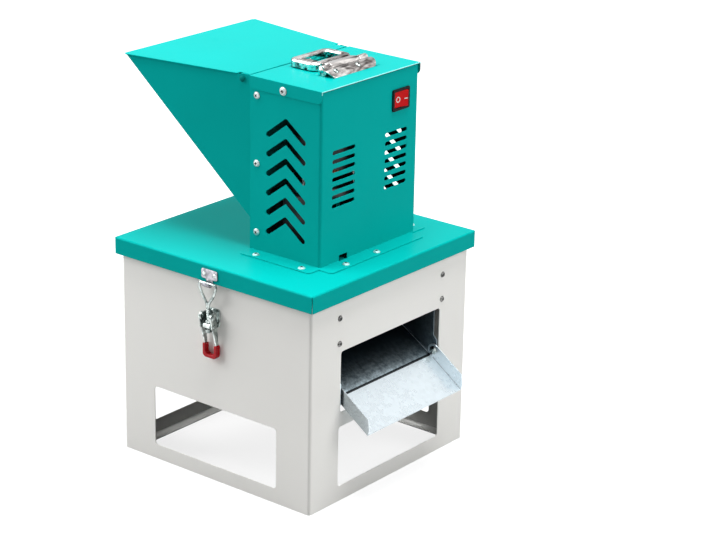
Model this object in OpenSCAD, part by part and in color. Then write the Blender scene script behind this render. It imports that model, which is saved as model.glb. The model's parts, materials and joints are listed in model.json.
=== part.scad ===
// Electric grain mill: a square sheet-metal stand with a lift-off milling head.
// Front is -Y (switch and chute), rear is +Y (hopper), up is +Z, the floor is Z = 0.
// Sizes are in millimetres and angles in degrees.

/* [Stand] */
// Height of the stand's walls
base_h = 265.5; // [255:0.5:290]
// Thickness of the folded sheet metal
sheet = 1.2; // [0.8:0.1:1.6]
// Outer radius of the folded corners
bend_r = 3.6; // [2.4:0.1:5]
// Width of each corner leg
leg_w = 50; // [40:1:60]
// Height of the leg openings' top edge
leg_h = 92.5; // [70:0.5:98]
// Height of the rails that join the feet
rail_h = 18.5; // [12:0.5:26]
// Width of the turned-in foot flange
foot_flange = 15; // [8:1:22]
// Corner radius of the cut-outs
cutout_r = 4; // [2:0.5:6]

/* [Discharge] */
// Distance from the discharge pan's inner wall to the side of its opening in the front panel
mouth_play = 2.5; // [2:0.5:4]
// Distance from the stand's top down to the discharge opening
mouth_drop = 81.5; // [80:0.5:86]
// Height of the discharge opening
mouth_h = 74; // [60:1:78]
// Distance from the tray's body to the discharge pan's inner wall
pan_play = 3; // [2.5:0.5:3.5]
// Slope of the discharge pan's floor
pan_slope = 32.2; // [30:0.1:33]
// Depth from the tray's rear edge to the pan's rear wall
pan_back = 4.5; // [3:0.5:8]
// Slope of the lowered chute
chute_slope = 35; // [33:0.5:38]
// Length of the chute's plate from its pivot
chute_len = 57; // [45:0.5:60]
// Height of the chute's side walls above its pivot
chute_wall = 8; // [6:0.5:10]
// Radius of the chute's pivot rivets
rivet_r = 3; // [2:0.5:4]

/* [Screen tray] */
// Width of the tray's body at its rim
tray_w = 172; // [166:1:173]
// Depth of the tray
tray_depth = 22.8; // [22:0.2:24]
// Draft of the tray's walls, from rim to floor
tray_draft = 8; // [6:0.5:10]
// Width of the tray's rim
tray_rim = 12; // [8:0.5:12]
// Gap between the tray's rim and the inside of the stand's front wall
rim_gap = 0.8; // [0.4:0.1:3]
// Corner radius of the tray's body
tray_r = 20; // [14:1:26]
// Thickness of the tray's sheet
tray_t = 0.8; // [0.5:0.1:1]
// Pitch of the tray's holes
mesh_pitch = 12; // [11:0.5:16]
// Width of the tray's holes
mesh_hole = 6; // [3:0.5:7]

/* [Milling head] */
// Overhang of the head plate past the stand
head_over = 6; // [4:0.5:9]
// Height of the head plate's turned-down edge
skirt_h = 20.5; // [16:0.5:24]
// Outer radius of the plate's folded edge
plate_bend = 2.4; // [1.8:0.1:4]
// Width of the motor tower
tower_w = 174; // [168:1:184]
// Offset of the tower's middle from the stand's middle
tower_x = 10; // [6:1:14]
// Depth of the tower
tower_d = 104.1; // [102:0.1:110]
// Position of the tower's rear edge behind the stand's middle
tower_rear = 4.8; // [2:0.1:8]
// Height of the tower with its cap
tower_h = 205.4; // [204:0.1:225]
// Width of the tower's foot flanges
tower_foot = 21; // [16:0.5:24]
// Height of the cap's side flanges
cap_flange = 15; // [12:0.5:20]

/* [Vents] */
// Number of louvre slots in each group
louvre_count = 7; // [5:1:7]
// Pitch of the louvre slots
louvre_pitch = 10.35; // [9:0.05:12]
// Length of a louvre slot
louvre_len = 40; // [30:1:44]
// Height of a louvre slot
louvre_w = 4.8; // [3:0.1:6]
// Distance from the tower's middle to each louvre group's middle
louvre_x = 47; // [43:1:52]
// Number of chevron slots on each side
chevron_count = 6; // [4:1:6]
// Pitch of the chevron slots
chevron_pitch = 23; // [18:0.5:25]
// Run of one chevron arm along the tower
chevron_run = 25.7; // [20:0.1:28]
// Rise of one chevron arm
chevron_rise = 19.4; // [12:0.1:22]
// Width of a chevron slot
chevron_w = 6.4; // [4:0.1:8]

/* [Hopper] */
// Length of the hopper behind the tower
hopper_d = 169.5; // [150:0.5:180]
// Flare of each hopper side over that length
hopper_flare = 26; // [15:0.5:32]
// Height of the hopper's lower edge above the head plate
hopper_z = 36.8; // [30:0.2:42]
// Overhang of the hopper's lid
lid_over = 1.7; // [1:0.1:3]
// Gap between the cap and the hopper's lid
lid_gap = 2.2; // [2:0.1:4]
// Distance of the lid's pivot behind the tower
lid_pivot_y = 10.7; // [10:0.1:14]
// Depth of the lid's pivot below the lid's top
lid_pivot_z = 5.9; // [5.4:0.1:6.5]

/* [Latches] */
// Offset of the latches from the stand's middle, front to rear
latch_y = 0; // [-12:1:12]
// Distance from the stand's top down to the lever's pivot
latch_drop = 58.5; // [56.5:0.5:62]
// Distance from the lever's pivot to the hook's trunnion
latch_arm = 11; // [9:0.5:12]
// Radius of the hook's wire
hook_r = 1.6; // [1.3:0.1:1.9]
// Radius of the hook's threaded stem
stem_r = 2; // [1.8:0.1:3]
// Width of the hook's cross bar
hook_w = 28.5; // [25:0.5:34]
// Length of the lever below its pivot
lever_len = 50; // [42:1:60]
// Length of the red grip on the lever
grip_len = 15; // [12:1:24]

/* [Switch] */
// Width of the switch's bezel
bezel_w = 31; // [29:0.5:33]
// Height of the switch's bezel
bezel_h = 25.6; // [24:0.2:28]
// Distance from the tower's middle to the switch's middle
switch_x = 53.3; // [48:0.1:56]
// Distance from the tower's top to the switch's middle
switch_drop = 36.6; // [30:0.1:42]
// Throw of the rocker from one side to the other
rocker_throw = 20; // [14:1:24]

/* [Handle] */
// Width of the folding handle's front plate
handle_w = 84; // [80:1:100]
// Offset of the handle's middle from the tower's middle
handle_x = 2.5; // [-10:0.5:10]
// Distance from the tower's front to the handle's pin
handle_y = 43; // [40:0.5:50]
// Radius of the handle's pin
pin_r = 2.5; // [2:0.1:3]
// Length of the handle's bail behind the pin
bail_len = 54; // [48:0.5:56]
// Width of the bail's rounded bar
bail_band = 8.5; // [6:0.5:10]
// Height of the bail's rounded bar
bail_t = 9; // [6:0.5:9.5]
// Depth of the front plate, from its hinge to its front edge
plate_d = 12.5; // [10:0.5:16]

/* [Motor and blade] */
// Distance of the motor's shaft in front of the tower's rear edge
shaft_y = 48.8; // [47:0.1:51]
// Radius of the shaft
shaft_r = 6; // [5:0.1:6.4]
// Radius of the stator
stator_r = 44; // [42:0.5:45]
// Height of the stator's stack
stator_h = 46; // [36:1:48]
// Radius of the armature
armature_r = 26.5; // [24:0.5:28]
// Number of armature slots and commutator bars
bars = 12; // [8:2:16]
// Height of the motor's bracket
bracket_h = 68; // [66:0.5:70]
// Length of the blade
blade_len = 140; // [110:1:144]
// Width of the blade
blade_w = 30; // [24:1:34]
// Step down of the blade's arms
blade_step = 5; // [3:0.5:5]
// Half width of the feed opening
throat_w = 45; // [36:1:47]

/* [Hidden] */
$fn = 48;
CLEAR = 0.3;        // between faces of pieces that move apart
FIT = 0.05;         // radial play of a pin in its hole
EPS = 0.01;

motor_y = tower_rear - shaft_y;
inner = tray_w / 2 + tray_rim + rim_gap - motor_y;    // half the stand's inner width
half = inner + sheet;
base_w = 2 * half;
head_w = base_w + 2 * head_over;
head_under = base_h + CLEAR;
head_z = head_under + sheet;
cap_z = head_z + tower_h;
tower_l = tower_x - tower_w / 2;
tower_r = tower_x + tower_w / 2;
tower_front = tower_rear - tower_d;
wall_y = tower_rear - 2;                   // rear face of the wall behind the motor
cap_over = 1.4;                            // overhang of the cap past the tower's front

// milling chamber
seal_t = 2.2;
rim_z = head_under - seal_t - CLEAR;       // top of the tray's rim
deck_z = rim_z - tray_t;                   // top of the deck that carries it
deck_lip = 12;                             // height of the deck's turned-down edge
tray_floor = rim_z - tray_depth;           // top of the tray's floor
pan_half = tray_w / 2 + pan_play;
mouth_w = 2 * (pan_half + mouth_play);
mouth_z = base_h - mouth_drop - mouth_h;
pan_rear = motor_y + tray_w / 2 + pan_back;

// chute and pan
chute_in = 4.5;                            // pivot behind the front face
chute_up = 20.5;                            // pivot above the opening's lower edge
chute_y = -half + chute_in;
chute_z = mouth_z + chute_up;
pan_tab = 10;                              // width of the tabs that carry the pan
pan_tab_z = mouth_z + mouth_h + 4;
pan_notch = 5;                             // the pan's sides stand back from the opening
chute_gap = 0.8;                           // between the chute's walls and the pan's
chute_half = pan_half - chute_gap;
chute_drop = 7.3;                          // chute floor below its pivot
pan_drop = 8.8;                            // pan floor below the chute's pivot
chute_nose = 8;                            // radius of the wall's end round the pivot
chamfer_u = 11;
chamfer_n = 9.6;

function pan_floor(y) = chute_z - pan_drop / cos(pan_slope) + (y - chute_y) * tan(pan_slope);

// furthest points, front and rear, which set the middle of the whole mill
tip_u = chute_len - 2.5;
tip_n = chute_wall - chamfer_n;
front_y = chute_y - tip_u * cos(chute_slope) - tip_n * sin(chute_slope);
rear_y = tower_rear + hopper_d + lid_over;
shift_y = -(front_y + rear_y) / 2;

// louvres and chevrons
louvre_top = 74.8;                         // below the tower's top
chevron_top = 44;
chevron_mid = 52.9;                        // apex line in front of the rear edge

// latch, measured outwards from the panel
latch_z = base_h - latch_drop;
lever_u = 10.8;
foot_u = 2.2;                              // inner edge of the lever's lower end
foot_t = 4.5;                               // width of that end
bar_u = 10.3;
bar_z = head_z - 20;
trunnion_u = lever_u - 1.8;
trunnion_z = latch_z - latch_arm;
ear_y = 6;
ear_t = 1.5;
plate_t = 1.5;
keeper_t = 1.5;
pocket_r = 2.8;
latch_rivet_r = 2.2;

// screws, from the nearest edge of the sheet that they hold
pan_screw_drops = [36.5, 67];              // below the pan's top
bracket_screw_z = [-10.5, 4.5];            // from the lever's pivot
cap_screw_y = 49.4;                        // in front of the tower's rear edge
cap_screw_drop = 9.4;                      // below the tower's top
seam_screw_y = 10;
seam_screw_drops = [21.6, 100.9, 182.8];
foot_screw_out = 13.5;                     // outside the tower's walls
foot_screw_y = [21.1, 88.9];
foot_screw_x = [-57, -1.4];                // from the tower's middle

// handle
handle_mid = tower_x + handle_x;
pin_y = tower_front + handle_y;
pin_up = 6.5;
knuckle_r = 5;
knuckle_len = 14;
knuckle_in = 3;                            // from the plate's end to the first knuckle
plate_rear = -knuckle_r - 2 * CLEAR;
plate_rise = 8;
plate_r = (plate_d * plate_d + plate_rise * plate_rise) / (2 * plate_rise);
bail_w = handle_w - 16;
bail_front = 13;

// motor stack, upwards from the bracket
bell_h = 10;
fan_h = 9;
overhang = 9;
bell_z = head_z + bracket_h;
fan_z = bell_z + bell_h + 1.5;
stator_z = fan_z + fan_h + overhang + 3;
com_z = stator_z + stator_h + overhang + 3;
com_h = 14;
top_bell_z = com_z + com_h + 3;
brush_len = 12;
brush_w = 6;
brush_h = 8;
bearing_r = 14;
bearing_h = 8;
bolt_circle = stator_r - 3.5;
throat_y = 24.8;                           // front of the feed duct, from the tower's rear
throat_z = 26;                             // height of the feed window

// blade stack, downwards from the head plate
hub_h = 9;
blade_t = 3;
blade_z = head_under - hub_h - blade_t - 1.5;
washer_t = 1.2;
nut_h = 5.6;

TEAL = "#17b8b0";
CREAM = "#dedcd6";
ZINC = "#b9bec2";
CHROME = "#e4e6e8";
RED = "#c4161c";
BLACK = "#1b1b1d";
COPPER = "#b5652a";

// ---------- shared shapes ----------

// moves a piece from the stand's middle to the middle of the whole mill
module placed() {
    translate([0, shift_y, 0]) children();
}

// extrudes an (x, z) outline from y0 to y1
module along_y(y0, y1) {
    translate([0, y1, 0]) rotate([90, 0, 0]) linear_extrude(y1 - y0) children();
}

// extrudes a (y, z) outline from x0 to x1
module along_x(x0, x1) {
    translate([x0, 0, 0]) rotate([90, 0, 90]) linear_extrude(x1 - x0) children();
}

// extrudes an (x, y) outline from z0 to z1
module along_z(z0, z1) {
    translate([0, 0, z0]) linear_extrude(z1 - z0) children();
}

module on_shaft() {
    translate([0, motor_y, 0]) children();
}

// rounded rectangle about its middle
module plate2d(w, d, r) {
    square([w - 2 * r, d], center = true);
    square([w, d - 2 * r], center = true);
    for (sx = [-1, 1], sy = [-1, 1])
        translate([sx * (w / 2 - r), sy * (d / 2 - r)]) circle(r);
}

// rounded rectangle from its lower left corner
module window2d(x0, y0, x1, y1, r) {
    translate([(x0 + x1) / 2, (y0 + y1) / 2]) plate2d(x1 - x0, y1 - y0, r);
}

// slot with round ends from point p to point q
module slot2d(p, q, w) {
    run = norm(q - p);
    translate(p) rotate(atan2(q.y - p.y, q.x - p.x)) {
        translate([0, -w / 2]) square([run, w]);
        circle(w / 2);
        translate([run, 0]) circle(w / 2);
    }
}

// sector of a ring, from angle a0 to a1
module sector(r0, r1, a0, a1, h) {
    rotate(a0) rotate_extrude(angle = a1 - a0) translate([r0, 0]) square([r1 - r0, h]);
}

module ring(r0, r1, h) {
    difference() {
        cylinder(r = r1, h = h);
        translate([0, 0, -1]) cylinder(r = r0, h = h + 2);
    }
}

// outline with its two upper corners rounded, standing on the zero line
module arch2d(w, h, r) {
    translate([-w / 2, 0]) square([w, h - r]);
    translate([-w / 2 + r, 0]) square([w - 2 * r, h]);
    for (s = [-1, 1]) translate([s * (w / 2 - r), h - r]) circle(r);
}

// block with rounded upright and upper edges
module folded_block(w, h, r) {
    intersection() {
        linear_extrude(h) plate2d(w, w, r);
        along_x(-w / 2, w / 2) arch2d(w, h, r);
        along_y(-w / 2, w / 2) arch2d(w, h, r);
    }
}

// pan-head screw seated on z = 0, with its head upwards
module pan_head(r, h) {
    rotate_extrude() intersection() {
        translate([0, h - (r * r + h * h) / (2 * h)]) circle((r * r + h * h) / (2 * h));
        square([r, h]);
    }
}

// places a right-hand latch piece on the right (1) or, mirrored, on the left (-1)
module on_side(side) {
    placed() mirror([side < 0 ? 1 : 0, 0, 0]) translate([half, latch_y, 0]) children();
}

// ---------- stand ----------

module base_shell() {
    color(CREAM) placed() difference() {
        union() {
            difference() {
                linear_extrude(base_h) plate2d(base_w, base_w, bend_r);
                translate([0, 0, -1])
                    linear_extrude(base_h + 2) plate2d(2 * inner, 2 * inner, bend_r - sheet);
            }
            linear_extrude(sheet) difference() {
                plate2d(base_w, base_w, bend_r);
                square(base_w - 2 * foot_flange, center = true);
            }
        }
        along_y(-half - 1, half + 1) leg_window();
        along_x(-half - 1, half + 1) leg_window();
        along_y(-half - 1, -inner + 1)
            window2d(-mouth_w / 2, mouth_z, mouth_w / 2, mouth_z + mouth_h, cutout_r);
    }
}

module leg_window() {
    window2d(leg_w - half, rail_h, half - leg_w, leg_h, cutout_r);
}

// deck inside the stand's top: its square hole holds the screen tray
module base_deck() {
    hole = tray_w + 3;
    color(CREAM) placed() difference() {
        translate([0, 0, deck_z - deck_lip])
            linear_extrude(deck_lip) plate2d(2 * inner, 2 * inner, bend_r - sheet);
        translate([0, 0, deck_z - deck_lip - 1])
            linear_extrude(deck_lip + 1 - sheet) square(2 * (inner - sheet), center = true);
        translate([0, motor_y, deck_z - deck_lip])
            linear_extrude(deck_lip + 1) plate2d(hole, hole, tray_r);
    }
}

// sloping pan under the tray, screwed behind the front panel
module discharge_pan() {
    top = deck_z - sheet;
    out = pan_half + sheet;
    lip_front = chute_y + 4.5;
    tab_top = deck_z - deck_lip;
    color(ZINC) placed() {
        difference() {
            union() {
                for (s = [-1, 1]) mirror([s < 0 ? 1 : 0, 0, 0]) {
                    along_x(pan_half, out) pan_side2d(top);
                    translate([pan_half, -inner, pan_tab_z]) cube([sheet + pan_tab, sheet, tab_top - pan_tab_z]);
                    translate([pan_half, sheet - inner, top - sheet])
                        cube([sheet + pan_tab, pan_rear + inner - sheet, sheet]);
                }
                along_x(-pan_half - sheet / 2, pan_half + sheet / 2) polygon([
                    [lip_front, pan_floor(lip_front)],
                    [pan_rear, pan_floor(pan_rear)],
                    [pan_rear, top],
                    [pan_rear + sheet, top],
                    [pan_rear + sheet, pan_floor(pan_rear) - sheet],
                    [lip_front, pan_floor(lip_front) - sheet / cos(pan_slope)]
                ]);
            }
            translate([-half, chute_y, chute_z]) rotate([0, 90, 0]) cylinder(r = rivet_r, h = base_w);
        }
    }
}

module pan_side2d(top) {
    low = -sheet / cos(pan_slope);
    polygon([
        [-inner, pan_floor(-inner) + low],
        [pan_rear + sheet, pan_floor(pan_rear + sheet) + low],
        [pan_rear + sheet, top],
        [sheet - inner, top],
        [sheet - inner, deck_z - deck_lip],
        [-inner, deck_z - deck_lip],
        [-inner, pan_tab_z],
        [pan_notch - inner, pan_tab_z - pan_notch],
        [pan_notch - inner, chute_z + chute_nose + 2 * pan_notch],
        [-inner, chute_z + chute_nose + pan_notch]
    ]);
}

module pan_screws() {
    tab_mid = pan_half + (sheet + pan_tab) / 2;
    color(ZINC) placed() for (s = [-1, 1], drop = pan_screw_drops)
        translate([s * tab_mid, -half, deck_z - sheet - drop]) rotate([90, 0, 0]) pan_head(3.6, 2);
}

module chute_rivets() {
    color(ZINC) placed() for (s = [-1, 1]) mirror([s < 0 ? 1 : 0, 0, 0])
        translate([0, chute_y, chute_z]) rotate([0, 90, 0]) {
            translate([0, 0, chute_half - sheet - CLEAR]) cylinder(r = rivet_r, h = sheet * 3);
            translate([0, 0, chute_half - sheet - CLEAR]) rotate([180, 0, 0]) pan_head(rivet_r * 1.7, 1.8);
        }
}

// U-shaped spout that swings on two rivets
module chute() {
    color(ZINC) placed() translate([0, chute_y, chute_z]) rotate([chute_slope, 0, 0]) {
        difference() {
            for (x = [-chute_half, chute_half - sheet]) along_x(x, x + sheet) chute_side2d();
            translate([-half, 0, 0]) rotate([0, 90, 0]) cylinder(r = rivet_r + FIT, h = base_w);
        }
        along_x(-chute_half, chute_half) translate([-chute_len, -chute_drop - sheet])
            square([chute_len, sheet]);
    }
}

// side of the chute, with its pivot at the origin and its tip towards -Y
module chute_side2d() {
    low = -chute_drop - sheet;
    circle(chute_nose);
    polygon([
        [0, low],
        [0, chute_wall],
        [chamfer_u - chute_len, chute_wall],
        [-tip_u, tip_n],
        [-chute_len, low]
    ]);
}

// ---------- latches ----------

module latch_bracket(side) {
    low = latch_z - 14;
    color(ZINC) on_side(side) {
        along_x(0, plate_t) window2d(-10, low, 10, latch_z + 8, 3);
        for (s = [-1, 1]) translate([0, s > 0 ? ear_y : -ear_y - ear_t, 0]) difference() {
            along_y(0, ear_t) {
                translate([0, latch_z - 7]) square([lever_u, 12]);
                translate([lever_u, latch_z]) circle(5);
                translate([plate_t, latch_z - 7]) square([lever_u - plate_t, 4]);
            }
            translate([lever_u, -1, latch_z]) rotate([-90, 0, 0])
                cylinder(r = latch_rivet_r, h = ear_t + 2);
        }
    }
}

module latch_screws() {
    color(ZINC) for (side = [-1, 1]) on_side(side) for (dz = bracket_screw_z)
        translate([plate_t, 0, latch_z + dz]) rotate([0, 90, 0]) pan_head(2.8, 1.4);
}

module latch_pivots() {
    color(ZINC) for (side = [-1, 1]) on_side(side) for (s = [-1, 1])
        mirror([0, s < 0 ? 1 : 0, 0]) translate([lever_u, 0, latch_z]) rotate([-90, 0, 0]) {
            translate([0, 0, ear_y - 0.6]) cylinder(r = latch_rivet_r, h = ear_t * 2 + 1.3);
            translate([0, 0, ear_y + ear_t * 2 + 0.6]) pan_head(latch_rivet_r * 1.7, 1.4);
        }
}

// lever of two plates, joined by a U bend inside the grip
module latch_lever(side) {
    out = ear_y + ear_t + CLEAR;
    foot = latch_z - lever_len;
    color(ZINC) on_side(side) {
        difference() {
            for (s = [-1, 1]) translate([0, s > 0 ? out : -out - plate_t, 0]) along_y(0, plate_t)
                lever_side2d(foot);
            for (p = [[lever_u, latch_z], [trunnion_u, trunnion_z]])
                translate([p.x, -20, p.y]) rotate([-90, 0, 0]) cylinder(r = latch_rivet_r + FIT, h = 40);
        }
        translate([foot_u, -out, foot]) cube([foot_t, 2 * out, plate_t]);
    }
}

module lever_side2d(foot) {
    translate([lever_u, latch_z]) circle(5);
    translate([trunnion_u, trunnion_z]) circle(4.6);
    polygon([
        [lever_u - 5, latch_z],
        [trunnion_u - 4.6, trunnion_z],
        [foot_u, foot + grip_len + 1],
        [foot_u, foot],
        [foot_u + foot_t, foot],
        [foot_u + foot_t, foot + grip_len + 1],
        [lever_u + 5, latch_z]
    ]);
}

// dipped red grip round the lever's lower end
module latch_grip(side) {
    out = ear_y + ear_t + CLEAR + plate_t;
    skin = 1.2;
    foot = latch_z - lever_len;
    color(RED) on_side(side) difference() {
        along_x(foot_u - skin, foot_u + foot_t + skin) difference() {
            grip2d(out + skin, foot - skin, foot + grip_len);
            grip2d(out - plate_t - skin, foot + plate_t + skin, foot + grip_len + 1);
        }
        along_x(foot_u, foot_u + foot_t) difference() {
            translate([-out, foot]) square([2 * out, grip_len + 1]);
            translate([plate_t - out, foot + plate_t]) square([2 * (out - plate_t), grip_len + 1]);
        }
    }
}

// U outline, round at its lower end
module grip2d(w, z0, z1) {
    r = 5;
    translate([-w, z0 + r]) square([2 * w, z1 - z0 - r]);
    translate([r - w, z0]) square([2 * (w - r), r + 1]);
    for (s = [-1, 1]) translate([s * (w - r), z0 + r]) circle(r);
}

// cross pin that carries the hook's stem between the lever's plates
module latch_trunnion(side) {
    out = ear_y + ear_t + CLEAR;
    color(ZINC) on_side(side) translate([trunnion_u, 0, trunnion_z]) difference() {
        union() {
            translate([0, ear_y - 1, 0]) rotate([90, 0, 0]) cylinder(r = 4, h = 2 * ear_y - 2);
            translate([0, out + plate_t + 0.8, 0]) rotate([90, 0, 0])
                cylinder(r = latch_rivet_r, h = 2 * (out + plate_t + 0.8));
        }
        stem_line() translate([0, 0, -20]) cylinder(r = stem_r, h = 40);
    }
}

// turns the Z axis along the stem, from the trunnion to the cross bar
module stem_line() {
    rotate([0, atan2(bar_u - trunnion_u, bar_z - trunnion_z), 0]) children();
}

// threaded stem with a triangular wire loop
module latch_hook(side) {
    len = norm([bar_u - trunnion_u, bar_z - trunnion_z]);
    eye = len - 24;
    reach = hook_w / 2 - hook_r;
    side_len = norm([reach, 24]);
    color(ZINC) on_side(side) translate([trunnion_u, 0, trunnion_z]) stem_line() {
        translate([0, 0, -9]) cylinder(r = stem_r, h = eye + 10);
        translate([0, reach, len]) rotate([90, 0, 0]) cylinder(r = hook_r, h = 2 * reach);
        for (s = [-1, 1]) {
            translate([0, 0, eye]) rotate([-s * atan2(reach, 24), 0, 0])
                cylinder(r = hook_r, h = side_len);
            translate([0, s * reach, len]) sphere(hook_r * 1.12);
        }
        translate([0, 0, eye]) sphere(stem_r * 1.1);
    }
}

module latch_nuts(side) {
    color(ZINC) on_side(side) translate([trunnion_u, 0, trunnion_z]) stem_line()
        for (z = [-7.6, 4.2]) translate([0, 0, z]) difference() {
            cylinder(r = 4.4, h = 3.4, $fn = 6);
            translate([0, 0, -1]) cylinder(r = stem_r, h = 6);
        }
}

// keeper on the head plate's edge, with a hook that holds the cross bar
module latch_keeper(side) {
    face = head_over;
    wide = 24;
    hook = 10;
    color(ZINC) on_side(side) {
        along_x(face, face + keeper_t) window2d(-wide / 2, bar_z + 4, wide / 2, head_z - 4.5, 2.5);
        along_y(-hook / 2, hook / 2) {
            translate([face, bar_z]) square([keeper_t, 6]);
            translate([face + keeper_t + 2 * pocket_r, bar_z]) square([keeper_t, 1.2]);
            translate([face + keeper_t + pocket_r, bar_z]) intersection() {
                difference() {
                    circle(pocket_r + keeper_t);
                    circle(pocket_r);
                }
                translate([-10, -10]) square([20, 10]);
            }
        }
    }
}

module keeper_rivets() {
    color(ZINC) for (side = [-1, 1]) on_side(side) for (s = [-1, 1])
        translate([head_over + keeper_t, s * 7.5, bar_z + 9.5]) rotate([0, 90, 0]) pan_head(2.4, 1.3);
}

// ---------- screen tray ----------

// pressed tray with sloping walls: a stack of the wall's rounded outline, shrunk by the draft
module screen_tray() {
    body = tray_w - 2 * tray_draft;
    color(ZINC) placed() on_shaft() {
        difference() {
            hull() {
                translate([0, 0, rim_z - EPS]) linear_extrude(EPS) plate2d(tray_w, tray_w, tray_r, $fn = 32);
                translate([0, 0, tray_floor - tray_t])
                    linear_extrude(EPS) plate2d(body, body, tray_r, $fn = 32);
            }
            hull() {
                translate([0, 0, rim_z]) linear_extrude(1)
                    plate2d(tray_w - 2 * tray_t, tray_w - 2 * tray_t, tray_r, $fn = 32);
                translate([0, 0, tray_floor]) linear_extrude(EPS)
                    plate2d(body - 2 * tray_t, body - 2 * tray_t, tray_r, $fn = 32);
            }
            tray_mesh(body);
        }
        translate([0, 0, rim_z - tray_t]) linear_extrude(tray_t) difference() {
            plate2d(tray_w + 2 * tray_rim, tray_w + 2 * tray_rim, tray_r);
            plate2d(tray_w - 2 * tray_t, tray_w - 2 * tray_t, tray_r);
        }
    }
}

// square holes on a grid over the tray's floor
module tray_mesh(body) {
    n = floor((body / 2 - tray_r / 2) / mesh_pitch);
    translate([0, 0, tray_floor - tray_t - 1]) linear_extrude(tray_t + 2)
        for (i = [-n:n], j = [-n:n])
            translate([i * mesh_pitch, j * mesh_pitch]) square(mesh_hole, center = true);
}

// ---------- milling head: sheet metal ----------

module head_plate() {
    color(TEAL) placed() translate([0, 0, head_z - skirt_h]) difference() {
        folded_block(head_w, skirt_h, plate_bend);
        translate([0, 0, -sheet]) folded_block(head_w - 2 * sheet, skirt_h, plate_bend - sheet);
        on_shaft() cylinder(r = shaft_r + 3, h = skirt_h + 1);
        linear_extrude(skirt_h + 1) throat2d(0);
        for (a = [45:90:315]) rotate(a) translate([head_w / sqrt(2) - 10, -0.25, -1])
            cube([20, 0.5, skirt_h - plate_bend + 1]);
    }
}

// plan of the feed duct, grown by a wall
module throat2d(wall) {
    front = tower_rear - throat_y - wall;
    back = tower_rear - 3.2;
    translate([-throat_w - wall, front]) square([2 * (throat_w + wall), back - front]);
}

module chamber_seal() {
    out = tray_w + 2 * tray_rim - 4;
    color(BLACK) placed() on_shaft() along_z(head_under - seal_t, head_under) difference() {
        plate2d(out, out, tray_r);
        plate2d(tray_w + 4, tray_w + 4, tray_r);
    }
}

// front and sides of the tower, folded from one sheet, with turned-out feet
module tower_shell() {
    color(TEAL) placed() difference() {
        union() {
            along_z(head_z, cap_z - sheet) difference() {
                tower2d(0);
                tower2d(sheet);
            }
            along_z(head_z, head_z + sheet) tower_feet2d();
        }
        louvres();
        chevrons();
        switch_cutout();
        along_y(tower_front - 1, tower_front + sheet + 1)
            window2d(tower_l + 33.7, head_z - 5, tower_l + 48.7, head_z + 7.5, 1.5);
        translate([0, 0, head_z - 1]) linear_extrude(sheet + 2) tower2d(sheet);
    }
}

// plan of the tower, shrunk by a wall at its front and sides, open to the rear
module tower2d(wall) {
    r = bend_r - wall;
    x0 = tower_l + wall;
    x1 = tower_r - wall;
    y0 = tower_front + wall;
    translate([x0, y0 + r]) square([x1 - x0, tower_rear - y0 - r + wall]);
    translate([x0 + r, y0]) square([x1 - x0 - 2 * r, 2 * r]);
    for (x = [x0 + r, x1 - r]) translate([x, y0 + r]) circle(r);
}

// three feet with round corners: left, right and front
module tower_feet2d() {
    r = 5;
    side_front = tower_front - 2;
    for (x = [tower_l - tower_foot, tower_r - tower_foot])
        window2d(x, side_front, x + 2 * tower_foot, tower_rear - 1, r);
    window2d(tower_l - 4, tower_front - tower_foot, tower_r - 8, tower_front + tower_foot, r);
}

module louvres() {
    for (s = [-1, 1], i = [0:louvre_count - 1]) {
        x = tower_x + s * louvre_x;
        z = cap_z - louvre_top - i * louvre_pitch;
        reach = (louvre_len - louvre_w) / 2;
        along_y(tower_front - 1, tower_front + sheet + 1)
            slot2d([x - reach, z], [x + reach, z], louvre_w);
    }
}

module chevrons() {
    y = tower_rear - chevron_mid;
    for (i = [0:chevron_count - 1]) {
        z = cap_z - chevron_top - i * chevron_pitch;
        along_x(tower_l - 1, tower_r + 1) for (s = [-1, 1])
            slot2d([y, z], [y + s * chevron_run, z - chevron_rise], chevron_w);
    }
}

module switch_cutout() {
    w = bezel_w - 3.4;
    h = bezel_h - 3.4;
    along_y(tower_front - 1, tower_front + sheet + 1)
        translate([tower_x + switch_x, cap_z - switch_drop]) square([w, h], center = true);
}

// wall between the motor and the hopper, with the feed window
module tower_back() {
    color(TEAL) placed() along_y(wall_y - sheet, wall_y) difference() {
        translate([tower_l + 2 * sheet, head_z])
            square([tower_w - 4 * sheet, tower_h - sheet]);
        translate([-throat_w, head_z + hopper_z]) square([2 * throat_w, throat_z]);
    }
}

// duct that leads the grain under the motor and down through the head plate
module feed_throat() {
    front = tower_rear - throat_y;
    back = tower_rear - 3.2;
    top = head_z + hopper_z + throat_z;
    shoulder = top - 20;
    color(ZINC) placed() {
        for (s = [-1, 1]) along_x(s > 0 ? throat_w : -throat_w - sheet, s > 0 ? throat_w + sheet : -throat_w)
            polygon([[front - sheet, head_z], [back, head_z], [back, top + sheet], [front - sheet, shoulder + sheet]]);
        along_x(-throat_w, throat_w) polygon([
            [front - sheet, head_z], [front, head_z], [front, shoulder], [back, top],
            [back, top + sheet], [front - sheet, shoulder + sheet]
        ]);
    }
}

module tower_cap() {
    low = cap_z - cap_flange;
    front = tower_front - cap_over;
    r = 7;
    color(TEAL) placed() {
        translate([tower_l - sheet, front, cap_z - sheet])
            cube([tower_w + 2 * sheet, tower_rear - front, sheet]);
        for (x = [tower_l - sheet, tower_r]) along_x(x, x + sheet) difference() {
            union() {
                translate([front, low + r]) square([tower_rear - front, cap_flange - r]);
                translate([front + r, low]) square([tower_rear - front - 2 * r, cap_flange]);
                for (y = [front + r, tower_rear - r]) translate([y, low + r]) circle(r);
            }
        }
    }
}

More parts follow.
